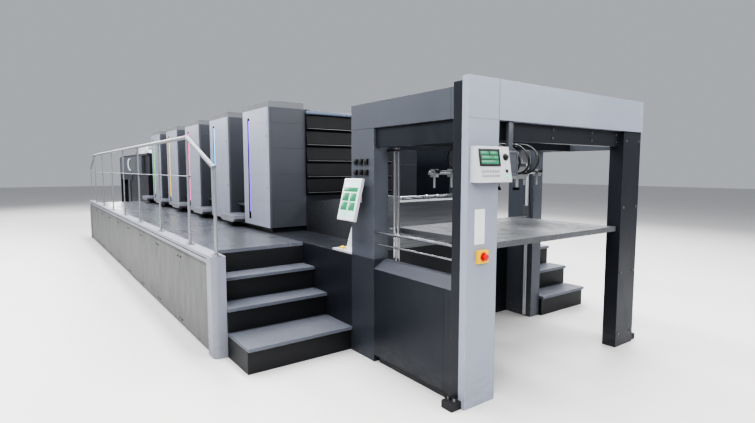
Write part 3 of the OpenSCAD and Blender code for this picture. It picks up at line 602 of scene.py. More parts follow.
class PressStudio(bpy.types.PropertyGroup):
    """Camera and light."""

    eye: bpy.props.FloatVectorProperty(
        name="Eye", description="Where the camera stands", subtype="TRANSLATION",
        default=(9.31, -3.71, 1.65), size=3, unit="LENGTH",
    )
    azimuth: bpy.props.FloatProperty(
        name="Azimuth", description="Way the camera looks, from +Y towards -X",
        default=math.radians(54), subtype="ANGLE",
    )
    dip: bpy.props.FloatProperty(
        name="Dip", description="How far the camera looks down", default=math.radians(5), subtype="ANGLE",
    )
    lens: bpy.props.FloatProperty(
        name="Lens", description="Focal length", default=23.2, min=15, max=80, unit="CAMERA",
    )


def paints():
    return bpy.context.scene.press_paints


# Operators that paint the frame


class PRESS_OT_paint_covers(bpy.types.Operator):
    """Paints the unit covers with their light slots and recesses, with painted shade in the recesses, and the trays
    and guards
    """

    bl_idname = "press.paint_covers"
    bl_label = "Paint unit covers"

    def execute(self, context):
        colours = paints()
        light = sheet_paint("cover_paint", colours.cover, top=1.1)
        local = light.along_unit()
        # The faces that look +X, towards the feeder, are laid darker grey.
        light.paint(light.faces(0), colours.flank)
        light.seams(2, [1.26, 1.58, 1.9, 2.2], 0.003, dark=0.78)
        # Near-black over the light slot, which is the colour of its black frame, and over the side recess by the grab
        # bar, which is painted shade.
        slot = light.zone((-0.226, OS + 0.0002, 1.0), (-0.162, OS + 0.04, 2.3), x=local)
        shaded_recess = light.zone((-0.4198, OS + 0.07, 1.34), (-0.385, OS + 0.15, 2.23), x=local)
        light.paint(light.either(slot, shaded_recess), (0.005, 0.005, 0.006), 0.5)
        light.coat("os_covers")

        tray = sheet_paint("tray_plastic", (0.13, 0.135, 0.145), 0.55, dust=0.3)
        tray.raise_by(tray.noise(90, 2.0, 0.5, stretch=(1, 1, 0.02)), 0.0006)
        tray.coat("unit_trays")

        guard = Finish("guard_paint", (0.006, 0.0065, 0.008), 0.34, Specular_IOR_Level=0.22)
        guard.mottled(1.4, 0.12,
            0.1).dusty(0.05, (0.1, 0.1, 0.1)).worn_edges((0.1, 0.105, 0.12), amount=0.4).grained()
        guard.coat("louvred_guards")

        body = dark_paint("unit_body_paint")
        body.seams(2, [1.32, 1.76], 0.004, dark=0.4)
        body.coat("unit_bodies")

        back = dark_paint("drive_side_paint")
        back.seams(2, [1.18, 1.72], 0.005, dark=0.3)
        # Near-black bands in the vent zone, which are painted shade in the vent slots.
        vents = back.both(back.zone((-0.3, DS - 0.01, 0.96), (0.3, DS + 0.01, 1.1), x=back.along_unit()),
            back.math("LESS_THAN", back.repeated(2, 0.02, 0), 0.009))
        back.paint(vents, (0.003, 0.003, 0.003), 0.8)
        rail = back.zone((-4, DS - 0.0905, 2.15), (4, DS + 0.01, 2.33))
        back.paint(rail, (0.16, 0.167, 0.19), 0.4)
        back.coat("ds_covers")
        return {"FINISHED"}


class PRESS_OT_paint_inking(bpy.types.Operator):
    """Paints the roller covers, the fountains, the inked rollers and the cylinder covers"""

    bl_idname = "press.paint_inking"
    bl_label = "Paint inking units"

    def execute(self, context):
        blue = sheet_paint("roller_cover_paint", paints().blue, 0.22, dust=0.1)
        local = blue.along_unit()
        low = blue.between(local, 0.3, 0.14)
        blue.paint(low, (0.028, 0.031, 0.038))
        blue.seams(local, [0.305], 0.003, dark=0.5)
        blue.coat("roller_covers")

        gloss = sheet_paint("cylinder_cover_paint", (0.24, 0.28, 0.37), 0.2, dust=0.1)
        gloss.seams(gloss.along_unit(), [-0.58], 0.004, dark=0.4)
        floor = gloss.both(gloss.faces(2), gloss.below(2, 1.32))
        gloss.ribbed(floor, 1, 0.024)
        gloss.coat("cylinder_covers")

        riser = sheet_paint("riser_paint", (0.09, 0.112, 0.16), 0.22, dust=0.12)
        riser.seams(0, [-4.19, -3.38], 0.005, dark=0.35)
        riser.coat("riser_hood")

        duct = dark_paint("fountain_paint", (0.009, 0.0105, 0.015), 0.28)
        duct.seams(2, [2.13], 0.004, dark=0.3)
        duct.coat("ink_fountains")

        films = [((0.008, 0.009, 0.01), (0.045, 0.045, 0.05)), ((0.006, 0.012, 0.09), (0.02, 0.04, 0.24)),
            ((0.13, 0.003, 0.01), (0.34, 0.015, 0.035)), ((0.06, 0.15, 0.004), (0.2, 0.36, 0.01))]
        for number, (thick, thin) in enumerate(films):
            film = Finish(f"ink_film_{number + 1}", thick, 0.26, Specular_IOR_Level=0.35)
            zone = film.repeated(1, INK_ZONE, MID - 10 * INK_ZONE)
            load = film.noise(7, 2.0, 0.5, stretch=(0.01, 1, 0.01))
            across = film.both(film.math("PINGPONG", zone, INK_ZONE / 2), 2 / INK_ZONE)
            film.paint(film.both(film.between(across, 0.15, 0.9), film.between(load, 0.3, 0.6)), thin)
            film.paint(film.math("LESS_THAN", zone, 0.004), tuple(c * 0.3 for c in thick))
            bare = film.either(film.below(1, MID - 0.541), film.above(1, MID + 0.541))
            film.paint(bare, (0.4, 0.41, 0.43), 0.3)
            film.coat(f"ink_roller_{number + 1}")
        return {"FINISHED"}


class PRESS_OT_paint_feeder(bpy.types.Operator):
    """Paints the feeder's portal, posts, columns, wall, table, board and suction head"""

    bl_idname = "press.paint_feeder"
    bl_label = "Paint feeder"

    def execute(self, context):
        colours = paints()
        light = sheet_paint("portal_paint", colours.cover, top=0.35)
        light.seams(1, [OS + 0.3], 0.004, (6, -3, 1.98), (8, 3, 3), 0.3)
        light.seams(2, [1.985], 0.003, (6, OS + 0.002, 1.9), (8, OS + 0.299, 2.1), 0.75)
        light.coat("feeder_portal")

        hood = sheet_paint("column_paint", colours.hood)
        low = hood.both(hood.below(2, 0.885), hood.below(1, -0.9))
        hood.paint(low, (0.028, 0.032, 0.041))
        hood.seams(2, [0.885, 1.985], 0.004, dark=0.35)
        hood.seams(0, [6.905], 0.004, (6, OS - 0.1, 1.9), (7, OS + 0.1, 2.3), 0.4)
        hood.paint(hood.zone((5.6, OS - 0.1, 1.55), (6.0, OS - 0.0003, 1.75)), (0.004, 0.004, 0.004), 0.35)
        hood.coat("feeder_columns")

        posts = dark_paint("post_paint")
        guide = posts.either(posts.zone((5.915, -1.2005, 0.02), (5.965, -1.165, 1.829)),
            posts.zone((5.915, 0.765, 0.02), (5.965, 0.8005, 1.829)))
        posts.paint(guide, (0.42, 0.43, 0.45), 0.25)
        feet = posts.below(2, 0.056)
        outside = posts.either(posts.below(1, OS - 0.001), posts.above(1, DS + 0.001))
        posts.paint(posts.both(feet, outside), (0.02, 0.02, 0.022), 0.6)
        posts.seams(2, [1.985], 0.004, (6, 0.6, 1.9), (8, 1.0, 2.1), 0.3)
        posts.coat("feeder_posts")

        wall = dark_paint("side_wall_paint", (0.0145, 0.0175, 0.0245))
        wall.seams(0, [6.86], 0.004, (6, -2, 0.0), (7, -1.3, 0.81), 0.3)
        sill = wall.both(wall.math("GREATER_THAN", wall.facing(2), 0.3), wall.below(2, 0.9))
        wall.paint(sill, (0.075, 0.08, 0.095), 0.35)
        wall.coat("feeder_os_wall")

        steel = Finish("ground_steel", (0.24, 0.247, 0.26), 0.36, 1.0)
        streaks = steel.noise(60, 3.0, 0.6, stretch=(1, 0.03, 1))
        steel.roughen(steel.between(streaks, 0.3, 0.7), 0.48).shaded(steel.between(streaks, 0.4, 0.8), 0.75)
        steel.coat("feed_table")

        head = Finish("head_silver", (0.45, 0.46, 0.475), 0.34, 0.85)
        head.mottled(6, 0.15, 0.12)
        hoses = head.either(head.below(2, 1.482),
            head.zone((6.22, MID - 0.14, 1.6705), (6.3148, MID + 0.14, 1.74)))
        head.paint(hoses, (0.012, 0.012, 0.012), 0.6)
        head.coat("feeder_suction_head")

        board = Finish("board_steel", (0.13, 0.135, 0.145), 0.42, 0.5)
        board.mottled(2.2, 0.25, 0.2)
        scratches = board.noise(30, 6.0, 0.75, stretch=(0.15, 1, 1))
        board.paint(board.both(board.between(scratches, 0.55, 0.7), 0.5), (0.25, 0.255, 0.26), 0.35)
        board.worn_edges((0.4, 0.41, 0.42), 0.003)
        board.coat("feeder_pile_board", "delivery_pile_board")

        panel = sheet_paint("panel_white", (0.44, 0.455, 0.475), 0.3, top=0, wear=(0.6, 0.6, 0.6), dust=0.05)
        panel.paint(panel.zone((7.0, -1.3, 1.0), (7.2, -1.1, 1.12)), (0.75, 0.46, 0.02), 0.4)
        panel.coat("control_panels", "feeder_touch_screen")
        return {"FINISHED"}


class PRESS_OT_paint_galleries(bpy.types.Operator):
    """Paints the machine bed, gallery floors, rims, skirts, treads and railings"""

    bl_idname = "press.paint_galleries"
    bl_label = "Paint galleries"

    def execute(self, context):
        colours = paints()
        tread = sheet_paint("tread_paint", colours.tread, 0.42, dust=0.12)
        step = tread.repeated(2, 0.22, 0.19)
        riser = tread.both(tread.math("LESS_THAN", tread.facing(2), 0.5),
            tread.math("GREATER_THAN", step, 0.0302))
        tread.paint(riser, (0.0075, 0.008, 0.01), 0.5)
        outside = tread.above(1, DS + 0.801)
        tread.ribbed(tread.both(tread.faces(2), tread.outside(outside)), 0)
        tread.ribbed(tread.both(tread.faces(2), outside), 1)
        tread.coat("gallery_stairs")

        steps = sheet_paint("unit_step_paint", colours.tread, 0.42, dust=0.12)
        low = steps.below(2, 1.0302)
        upright = steps.math("LESS_THAN", steps.facing(2), 0.5)
        steps.paint(steps.both(upright, low), (0.21, 0.215, 0.24))
        slab = steps.either(steps.within(2, 1.1355, 1.171), steps.within(2, 1.2755, 1.311))
        steps.paint(steps.both(upright, steps.outside(low)), (0.008, 0.009, 0.012))
        steps.paint(steps.both(upright, slab), (0.07, 0.076, 0.092))
        treads = steps.both(steps.faces(2), steps.above(2, 1.04))
        steps.paint(treads, (0.045, 0.049, 0.058), 0.4)
        steps.ribbed(treads, 1, 0.02)
        steps.coat("unit_steps")

        floor = Finish("floor_paint", (0.13, 0.139, 0.165), 0.24)
        floor.mottled(0.45, 0.12, 0.07).dusty(0.3, (0.17, 0.16, 0.15)).worn_edges((0.4, 0.41, 0.43))
        floor.seams(0, [-3.52 + 1.03 * k for k in range(1, 8)], 0.004)
        floor.ribbed(floor.faces(2), 1)
        # Near-black on all of the gallery below z 0.845, under its deck top, which is painted shade.
        under_deck_shade = floor.below(2, 0.845)
        floor.paint(under_deck_shade, (0.01, 0.011, 0.013), 0.5)
        floor.coat("os_gallery")

        bed = dark_paint("bed_paint")
        bed.seams(0, [x - 0.7 for x in UNITS] + [3.87], 0.005, dark=0.3)
        bed.coat("machine_bed")

        back = dark_paint("drive_gallery_paint")
        top = back.both(back.faces(2), back.above(2, 0.87))
        back.paint(top, (0.06, 0.066, 0.082), 0.3)
        back.ribbed(top, 1)
        back.seams(0, [-4.47 + 0.98 * k for k in range(1, 10)], 0.006, (-5, DS + 0.7, 0), (6, 1.8, 0.84), 0.25)
        back.coat("ds_gallery")

        skirt = sheet_paint("skirt_paint", (0.108, 0.11, 0.112), 0.45, top=0.4)
        skirt.seams(2, [0.79], 0.003, dark=0.6)
        skirt.coat("os_skirt")

        rim = sheet_paint("rim_paint", (0.22, 0.23, 0.27), 0.36, top=0.35)
        rim.seams(0, [-4.06 + 1.009 * k for k in range(1, 9)], 0.004, (-4.2, -2.6, 0.8), (5.1, -2.3, 1.0), 0.4)
        # A near-black band along the rim's outer face, which is painted shade of a groove.
        shaded_groove = rim.both(rim.within(2, 0.862, 0.872), rim.faces(1, -1), rim.within(0, -4.06, 5.02))
        rim.paint(shaded_groove, (0.01, 0.01, 0.012), 0.6)
        rim.seams(0, [-3.2, -1.9, -0.4, 0.9, 3.2, 4.4], 0.004, (-4.5, DS, 0.8), (5.4, 2.0, 1.0), 0.4)
        rim.coat("gallery_rims")

        rail = sheet_paint("rail_paint", (0.165, 0.172, 0.19), 0.3, dust=0.05)
        rail.coat("railings")
        return {"FINISHED"}


class PRESS_OT_paint_delivery(bpy.types.Operator):
    """Paints the delivery's portal, frame, hoods, body, brake roller and roof boxes"""

    bl_idname = "press.paint_delivery"
    bl_label = "Paint delivery"

    def execute(self, context):
        colours = paints()
        light = sheet_paint("delivery_portal_paint", colours.cover, top=0.35)
        light.seams(1, [OS + 0.46], 0.004, (-8, -3, 1.85), (-6, 3, 2.1), 0.4)
        light.seams(2, [1.12, 1.89], 0.003, dark=0.7)
        light.coat("delivery_portal")

        frame_paint = dark_paint("delivery_frame_paint")
        guide = frame_paint.zone((-5.266, -0.72, 0.02), (-5.2295, 0.32, 1.499))
        guide = frame_paint.both(guide,
            frame_paint.either(frame_paint.within(1, MID - 0.498, MID - 0.462),
                frame_paint.within(1, MID + 0.462, MID + 0.498)))
        frame_paint.paint(guide, (0.36, 0.37, 0.39), 0.28)
        # Two near-black slots on the faces that look -X, which are painted shade in the slots.
        slots = frame_paint.both(frame_paint.faces(0, -1), frame_paint.within(2, 0.35, 1.05),
            frame_paint.either(frame_paint.within(1, OS + 0.12, OS + 0.128),
                frame_paint.within(1, OS + 0.2, OS + 0.208)))
        frame_paint.paint(slots, (0.0015, 0.0015, 0.002), 0.8)
        frame_paint.seams(2, [0.62, 1.06], 0.004, dark=0.4)
        frame_paint.coat("delivery_frame")

        hood = sheet_paint("delivery_hood_paint", colours.hood, 0.28)
        hood.paint(hood.above(1, 0), (0.032, 0.038, 0.052))
        hood.seams(0, [-6.42, -5.14, -4.6], 0.005, dark=0.35)
        handle = hood.both(hood.within(2, 1.575, 1.6), hood.within(0, -5.05, -3.85), hood.faces(1))
        hood.paint(handle, (0.002, 0.002, 0.002), 0.7)
        hood.coat("delivery_hoods")

        body = dark_paint("delivery_body_paint")
        body.seams(0, [-4.62, -4.05, -3.45], 0.005, dark=0.35)
        body.seams(2, [0.88, 1.5], 0.005, dark=0.4)
        roof = body.both(body.faces(2), body.above(2, 2.0))
        body.paint(roof, (0.055, 0.058, 0.066), 0.4)
        body.seams(0, [-6.2, -5.6, -4.9], 0.006, (-8, -2, 2.0), (-3, 2, 2.1), 0.35)
        body.coat("delivery_body")

        boxes = sheet_paint("roof_box_paint", (0.5, 0.51, 0.53), 0.38, top=0)
        boxes.paint(boxes.within(0, -5.21, -4.85), (0.12, 0.125, 0.14))
        metal = boxes.both(boxes.within(0, -6.0, -5.7), boxes.above(2, 2.1905))
        boxes.paint(metal, (0.3, 0.31, 0.33), 0.3)
        boxes.coat("roof_boxes")

        # Light, only half-metallic steel, so that the roller shows bright inside the dark delivery bay. This is its
        # own bright steel, and partly painted light.
        steel = Finish("roller_chrome", (0.52, 0.53, 0.54), 0.4, 0.45)
        turns = steel.noise(50, 2.0, 0.5, stretch=(0.05, 1, 0.05))
        steel.roughen(steel.between(turns, 0.35, 0.7), 0.5).shaded(steel.between(turns, 0.4, 0.8), 0.88)
        steel.coat("brake_roller")
        return {"FINISHED"}


class PRESS_OT_paint_cabinets(bpy.types.Operator):
    """Paints the cabinets, their doors and hoods, and the service boxes"""

    bl_idname = "press.paint_cabinets"
    bl_label = "Paint cabinets"

    def execute(self, context):
        colours = paints()
        body = dark_paint("cabinet_paint", (0.0135, 0.016, 0.0225))
        plinth = body.both(body.faces(1), body.below(2, 0.325))
        body.paint(plinth, (0.02, 0.024, 0.034), 0.38)
        body.seams(0, CABINETS, 0.005, (-4, 2.3, 0), (4, 2.5, 0.33), 0.3)
        body.seams(1, [1.98], 0.004, dark=0.5)
        body.coat("cabinets")

        boxes = dark_paint("service_box_paint", (0.0115, 0.0135, 0.0185))
        boxes.seams(0, [-3.31, -2.76], 0.005, dark=0.3)
        metal = boxes.both(boxes.below(0, -2.3), boxes.above(2, 0.5505))
        boxes.paint(metal, (0.34, 0.35, 0.37), 0.3)
        boxes.coat("service_boxes")

        doors = sheet_paint("door_paint", colours.cover, 0.38, top=0.55)
        doors.paint(doors.zone((-5, DOOR_FACE + 0.0005, 1.07), (5, 2.46, 1.31)), (0.006, 0.006, 0.007), 0.35)
        doors.coat(*[f"cabinet_door_{k}{s}" for k in "123" for s in "ab"])

        hoods = sheet_paint("cabinet_hood_paint", (0.31, 0.32, 0.345), 0.4, top=0)
        hoods.seams(2, [2.0], 0.004, dark=0.5)
        hoods.coat("cabinet_hoods")
        return {"FINISHED"}


class PRESS_OT_light_strips(bpy.types.Operator):
    """Lights the colour strips of the units, and adds their lenses and channels"""

    bl_idname = "press.light_strips"
    bl_label = "Light strips"

    def execute(self, context):
        strip = Finish("strip_light", (0.02, 0.02, 0.02), 0.25)
        colours = [(0.13, 0.04, 0.55), (0.03, 0.42, 1.0), (1.0, 0.03, 0.42), (1.0, 0.6, 0.03),
            (0.02, 0.9, 0.06)]
        for x, colour in zip(UNITS, colours):
            strip.paint(strip.within(0, x - 0.7, x + 0.7), colour)
        strip.mottled(9, 0.12, 0.0).glowing(2.4).coat("unit_lights")
        low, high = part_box("unit_lights")
        x0 = COVER_EDGE + 0.226
        lens = block((x0 - 0.0115, OS + 0.003, low.z), (x0 + 0.0115, OS + 0.021, high.z), 0.003, 2)
        finished(lens, "strip_lenses", "strip_light", at=UNIT_SHIFTS)
        bars = joined([block((x0 + s * 0.0205 - 0.006, OS + 0.013, low.z - 0.05),
            (x0 + s * 0.0205 + 0.006, OS + 0.0295, high.z + 0.02), 0.002) for s in (-1, 1)])
        finished(bars, "strip_channels", "black_plastic", at=UNIT_SHIFTS)
        return {"FINISHED"}


# Operators that add pieces


class PRESS_OT_cover_fittings(bpy.types.Operator):
    """Adds the grab bars, locks, switch boxes and tray mats of the unit covers"""

    bl_idname = "press.cover_fittings"
    bl_label = "Unit cover fittings"

    def execute(self, context):
        edge = COVER_EDGE
        x, y = edge - 0.014, OS + 0.11
        bar = tube(
            [(x + 0.052, y, 1.46), (x + 0.004, y, 1.465), (x, y, 1.5), (x, y, 1.8), (x, y, 2.1),
                (x + 0.004, y, 2.145), (x + 0.052, y, 2.15)], 0.011, 12)
        finished(bar, "cover_grab_bars", "black_plastic", at=UNIT_SHIFTS)
        strip = block((edge - 0.006, OS + 0.045, 1.0), (edge, OS + 0.064, 2.34), 0.002)
        sink(strip, "-X", 0.004, 0.002)
        finished(strip, "cover_edge_trims", "mid_trim", at=UNIT_SHIFTS)
        lock_piece = put(lock(0.013), (UNITS[0] + 0.37, OS - 0.0003, 1.42), "-Y")
        finished(lock_piece, "cover_locks", "screw_steel",
            at=[(x, 0, z) for x, _, _ in UNIT_SHIFTS for z in (0, 0.62)])
        box = block((edge - 0.036, OS + 0.16, 1.4), (edge, OS + 0.22, 1.55), 0.008, 3)
        sink(box, "-X", 0.01, 0.003)
        finished(box, "cover_switch_boxes", "white_plastic", at=UNIT_SHIFTS)
        mat = block((UNITS[0] - 0.385, OS + 0.035, 2.394), (UNITS[0] + 0.385, OS + 0.455, 2.399), 0.001)
        select_faces(mat, "+Z")
        bpy.ops.mesh.subdivide(number_cuts=11)
        bpy.ops.mesh.inset(thickness=0.006, depth=-0.002, use_individual=True)
        mode("OBJECT")
        finished(mat, "tray_mats", "mid_trim", at=UNIT_SHIFTS)
        lip = tile(0.41, 0.0025, 0.004, 0.0015)
        lip = copied(lip, [(UNITS[0], OS + 0.019, 2.453), (UNITS[0], OS + 0.471, 2.453)])
        finished(lip, "tray_rim_lips", "cover_trim", at=UNIT_SHIFTS)
        return {"FINISHED"}


class PRESS_OT_guard_trims(bpy.types.Operator):
    """Adds the bright edges, handles and front cap of the louvred guards"""

    bl_idname = "press.guard_trims"
    bl_label = "Guard trims"

    def execute(self, context):
        pitch = (2.15 - 1.5) / 5
        x = COVER_EDGE
        slat = block((x - 0.003, MID - 0.597, 1.521), (x + 0.003, MID + 0.597, 1.527), 0.0012)
        slat = in_row(slat, 5, (0, 0, pitch))
        finished(slat, "guard_slat_edges", "screw_steel", at=UNIT_SHIFTS)
        handle = put(grab(0.16, 0.03, 0.007), (x + 0.004, MID, 2.05), "-X")
        finished(handle, "guard_handles", "black_plastic", at=UNIT_SHIFTS)
        pitch = (2.32 - 1.33) / 5
        x = UNITS[0] + HALF_COVER + 0.046
        front = block((x - 0.003, MID - 0.657, 1.35), (x + 0.003, MID + 0.657, 1.358), 0.0012)
        finished(in_row(front, 5, (0, 0, pitch)), "front_guard_edges", "screw_steel")
        cap = block((x - 0.046, MID - 0.66, 2.318), (x + 0.003, MID + 0.66, 2.362), 0.01, 4)
        finished(cap, "front_guard_cap", "roller_cover_paint")
        return {"FINISHED"}


class PRESS_OT_inks(bpy.types.Operator):
    """Fills the ink fountains, and adds their keys, lips, catches and side levers"""

    bl_idname = "press.inks"
    bl_label = "Inks and fountains"

    def execute(self, context):
        cloud = bpy.data.textures.new("ink_ripple", "CLOUDS")
        cloud.noise_scale = 0.06
        for x, name in zip(UNITS, ["black_ink", "blue_ink", "magenta_ink", "yellow_ink"]):
            deselect()
            bpy.ops.mesh.primitive_grid_add(x_subdivisions=10, y_subdivisions=110, size=1,
                location=(x - 0.192, MID, 2.243))
            pool = context.active_object
            pool.scale = (0.1, 1.076, 1)
            settle(pool)
            mode("EDIT")
            bpy.ops.mesh.select_all(action="SELECT")
            bpy.ops.mesh.extrude_region_move(TRANSFORM_OT_translate={"value": (0, 0, 0.01)})
            mode("OBJECT")
            apply_modifier(pool, "DISPLACE", texture=cloud, strength=0.005, direction="Z",
                texture_coords="GLOBAL")
            finished(pool, name.replace("_ink", "_ink_pool"), name, angle=60)
        x0 = COVER_EDGE + 0.11
        key = block((x0 - 0.01, MID - 0.522, 2.15), (x0 + 0.002, MID - 0.504, 2.166), 0.002)
        finished(in_row(key, 20, (0, INK_ZONE, 0)), "ink_keys", "dark_steel", at=INKED)
        lip = block((x0 + 0.03, MID - 0.562, 2.2725), (x0 + 0.062, MID + 0.562, 2.2765), 0.0012)
        finished(lip, "fountain_lips", "aluminium", at=INKED)
        catch = joined([block((x0 + 0.004, MID - 0.032, 2.2), (x0 + 0.03, MID - 0.024, 2.28), 0.002),
            block((x0 + 0.004, MID + 0.024, 2.2), (x0 + 0.03, MID + 0.032, 2.28), 0.002),
            tube([(x0 + 0.006, MID - 0.03, 2.262), (x0 + 0.006, MID + 0.03, 2.262)], 0.005, 8, False)])
        finished(catch, "fountain_catches", "screw_steel", at=INKED)
        parts = []
        for side in (-1, 1):
            y = MID + side * 0.585
            arm = block((x0 + 0.02, y - 0.006, 2.19), (x0 + 0.18, y + 0.006, 2.225), 0.004)
            hub = put(turned([(0, 0.03), (0.008, 0.03), (0.01, 0.02), (0.016, 0.018)], sides=20),
                (x0 + 0.19, y - 0.006, 2.215), "-Y")
            knob = tube([(x0 + 0.03, y, 2.21), (x0 + 0.02, y, 2.26), (x0 + 0.045, y, 2.3)], 0.006, 8)
            ball = turned([(0, 0.006), (0.004, 0.012), (0.014, 0.014), (0.024, 0.01), (0.028, 0.004)],
                (x0 + 0.045, y, 2.293), "Z", 12)
            parts += [arm, hub, knob, ball]
        finished(joined(parts), "fountain_levers", "dark_steel", at=INKED)
        return {"FINISHED"}


class PRESS_OT_roller_cover_rims(bpy.types.Operator):
    """Adds the raised bars and the locks of the roller covers"""

    bl_idname = "press.roller_cover_rims"
    bl_label = "Roller cover rims"

    def execute(self, context):
        x = UNITS[0]
        low = Vector((x - 0.013, 0, 2.278))
        high = Vector((x + 0.31, 0, 2.372))
        up = (high - low).normalized()
        right = Vector((0, 1, 0))
        out = up.cross(right) * math.copysign(1, up.cross(right).z)
        place = lambda share, raised=0.0: low.lerp(high, share) + Vector((0, MID, 0)) + out * raised
        bar = tile(0.56, 0.011, 0.012, 0.004, 3)
        stand(bar, face_on(place(0.57), -right, up))
        finished(bar, "roller_cover_bars", "dark_steel", at=INKED)
        knob = lock(0.015)
        stand(knob, face_on(place(0.9), -right, up))
        finished(knob, "roller_cover_locks", "screw_steel",
            at=[(s, y, 0) for s, _, _ in INKED for y in (-0.5, 0.5)])
        return {"FINISHED"}


class PRESS_OT_unit_treads(bpy.types.Operator):
    """Adds the yellow edges of the unit steps"""

    bl_idname = "press.unit_treads"
    bl_label = "Yellow step edges"

    def execute(self, context):
        middle = UNITS[0] - STEP_MIDDLE
        strip = block((middle - 0.268, OS + 0.354, 1.3085), (middle + 0.268, OS + 0.412, 1.3135), 0.0015)
        sink(strip, "+Z", 0.006, 0.001)
        strips = copied(strip, UNIT_SHIFTS)
        middle = UNITS[4] - STEP_MIDDLE
        low = block((middle - 0.268, OS + 0.134, 1.1685), (middle + 0.268, OS + 0.192, 1.1735), 0.0015)
        sink(low, "+Z", 0.006, 0.001)
        finished(joined([strips, low]), "step_edge_strips", "safety_yellow")
        return {"FINISHED"}


class PRESS_OT_feeder_panels(bpy.types.Operator):
    """Adds the feeder's screens, keys, knobs and emergency button"""

    bl_idname = "press.feeder_panels"
    bl_label = "Feeder panels"

    def execute(self, context):
        right, up = Vector((0, 1, 0)), Vector((-0.04, 0, 0.24)).normalized()
        middle = Vector((7.14, OS + 0.18, 1.68))

        def lay(piece, across, high, raised=0.0):
            return stand(piece,
                face_on(middle + right * across + up * high + right.cross(up) * raised, right, up))

        finished(lay(plate(0.2, 0.115, 0.007, 0.009, 0.003), -0.045, 0.045), "feeder_screen_bezel",
            "black_plastic")
        tiles = [lay(tile(w, 0.012, 0.0014), a - 0.045, b + 0.045, 0.0037) for a, w,
            b in [(-0.045, 0.04, 0.03), (0.045, 0.04, 0.03), (-0.02, 0.06, 0), (0.06, 0.025, 0),
                (0, 0.085, -0.03)]]
        finished(joined(tiles), "feeder_screen_tiles", "screen_green")
        key = lay(tile(0.009, 0.007, 0.004, 0.0015), -0.125, -0.045)
        keys = in_row(key, 7, right * 0.026)
        finished(keys, "feeder_panel_keys", "panel_grey", at=[(0, 0, 0), up * -0.03])
        knob = turned([(0, 0.024), (0.004, 0.024), (0.005, 0.017), (0.018, 0.015), (0.02, 0.012)], sides=24)
        dot = button(0.009, 0.008)
        finished(joined([lay(knob, 0.115, 0.05), lay(dot, 0.115, -0.045)]), "feeder_panel_knob",
            "black_plastic")
        finished(lay(button(0.009, 0.008), 0.115, -0.08), "feeder_panel_start", "green_lens")

        yoke = turned(
            [(0, 0.031), (0.003, 0.031), (0.004, 0.012), (0.014, 0.012), (0.016, 0.023), (0.026, 0.022),
                (0.03, 0.016)], sides=28)
        finished(put(yoke, (7.0942, OS + 0.14, 1.055), "+X"), "feeder_emergency_button", "red_button")
        label = put(plate(0.1, 0.24, 0.002, 0.006, 0.0008, 0.0006), (7.0702, OS + 0.12, 1.26), "+X")
        finished(label, "feeder_blank_plate", "white_plastic")

        right, up = Vector((1, 0, 0)), Vector((0, 0.242, 0.970)).normalized()
        middle = Vector((5.81, -1.4633, 1.3908))
        finished(lay(plate(0.262, 0.362, 0.005, 0.018, 0.002), 0, 0), "touch_screen_front", "white_plastic")
        tiles = [lay(tile(w, h, 0.0012), a, b, 0.0032) for a, w, b,
            h in [(-0.06, 0.048, 0.02, 0.035), (0.055, 0.045, 0.02, 0.035), (-0.06, 0.048, -0.06, 0.035),
                (0.055, 0.045, -0.06, 0.035), (0, 0.105, 0.085, 0.018)]]
        finished(joined(tiles), "touch_screen_tiles", "screen_green")
        glass = lay(tile(0.112, 0.16, 0.0008, 0.0003), 0, 0, 0.0028)
        finished(glass, "touch_screen_glass", "screen_light")

        up = Vector((0, math.sin(math.radians(16)), math.cos(math.radians(16))))
        foot = Vector((5.48, OS + 0.15, 0.9))
        ring = [foot + right * a + up * b for a,
            b in [(-0.12, 0), (-0.12, 0.17), (-0.112, 0.2), (-0.08, 0.212), (0.08, 0.212), (0.112, 0.2),
                (0.12, 0.17), (0.12, 0)]]
        finished(tube(ring, 0.009, 12), "tablet_rest_frame", "white_plastic")
        dial = turned([(0, 0.026), (0.012, 0.026), (0.02, 0.018), (0.024, 0.008)], (5.4, OS + 0.07, 0.898), "Z",
            20)
        finished(dial, "rest_dial", "yellow_button")

        cap = put(button(0.015, 0.012), (5.75, OS - 0.0142, 1.62), "-Y")
        finished(cap, "column_buttons", "black_plastic",
            at=[(k * 0.08, 0, r * 0.09) for k in range(3) for r in range(2)])
        case = block((7.02, OS + 0.37, 1.6), (7.066, OS + 0.52, 1.78), 0.006)
        sink(case, "+X", 0.012, 0.004)
        hanger = block((7.03, OS + 0.42, 1.775), (7.056, OS + 0.47, 1.986), 0.002)
        finished(joined([case, hanger]), "feeder_side_box", "mid_trim")
        return {"FINISHED"}


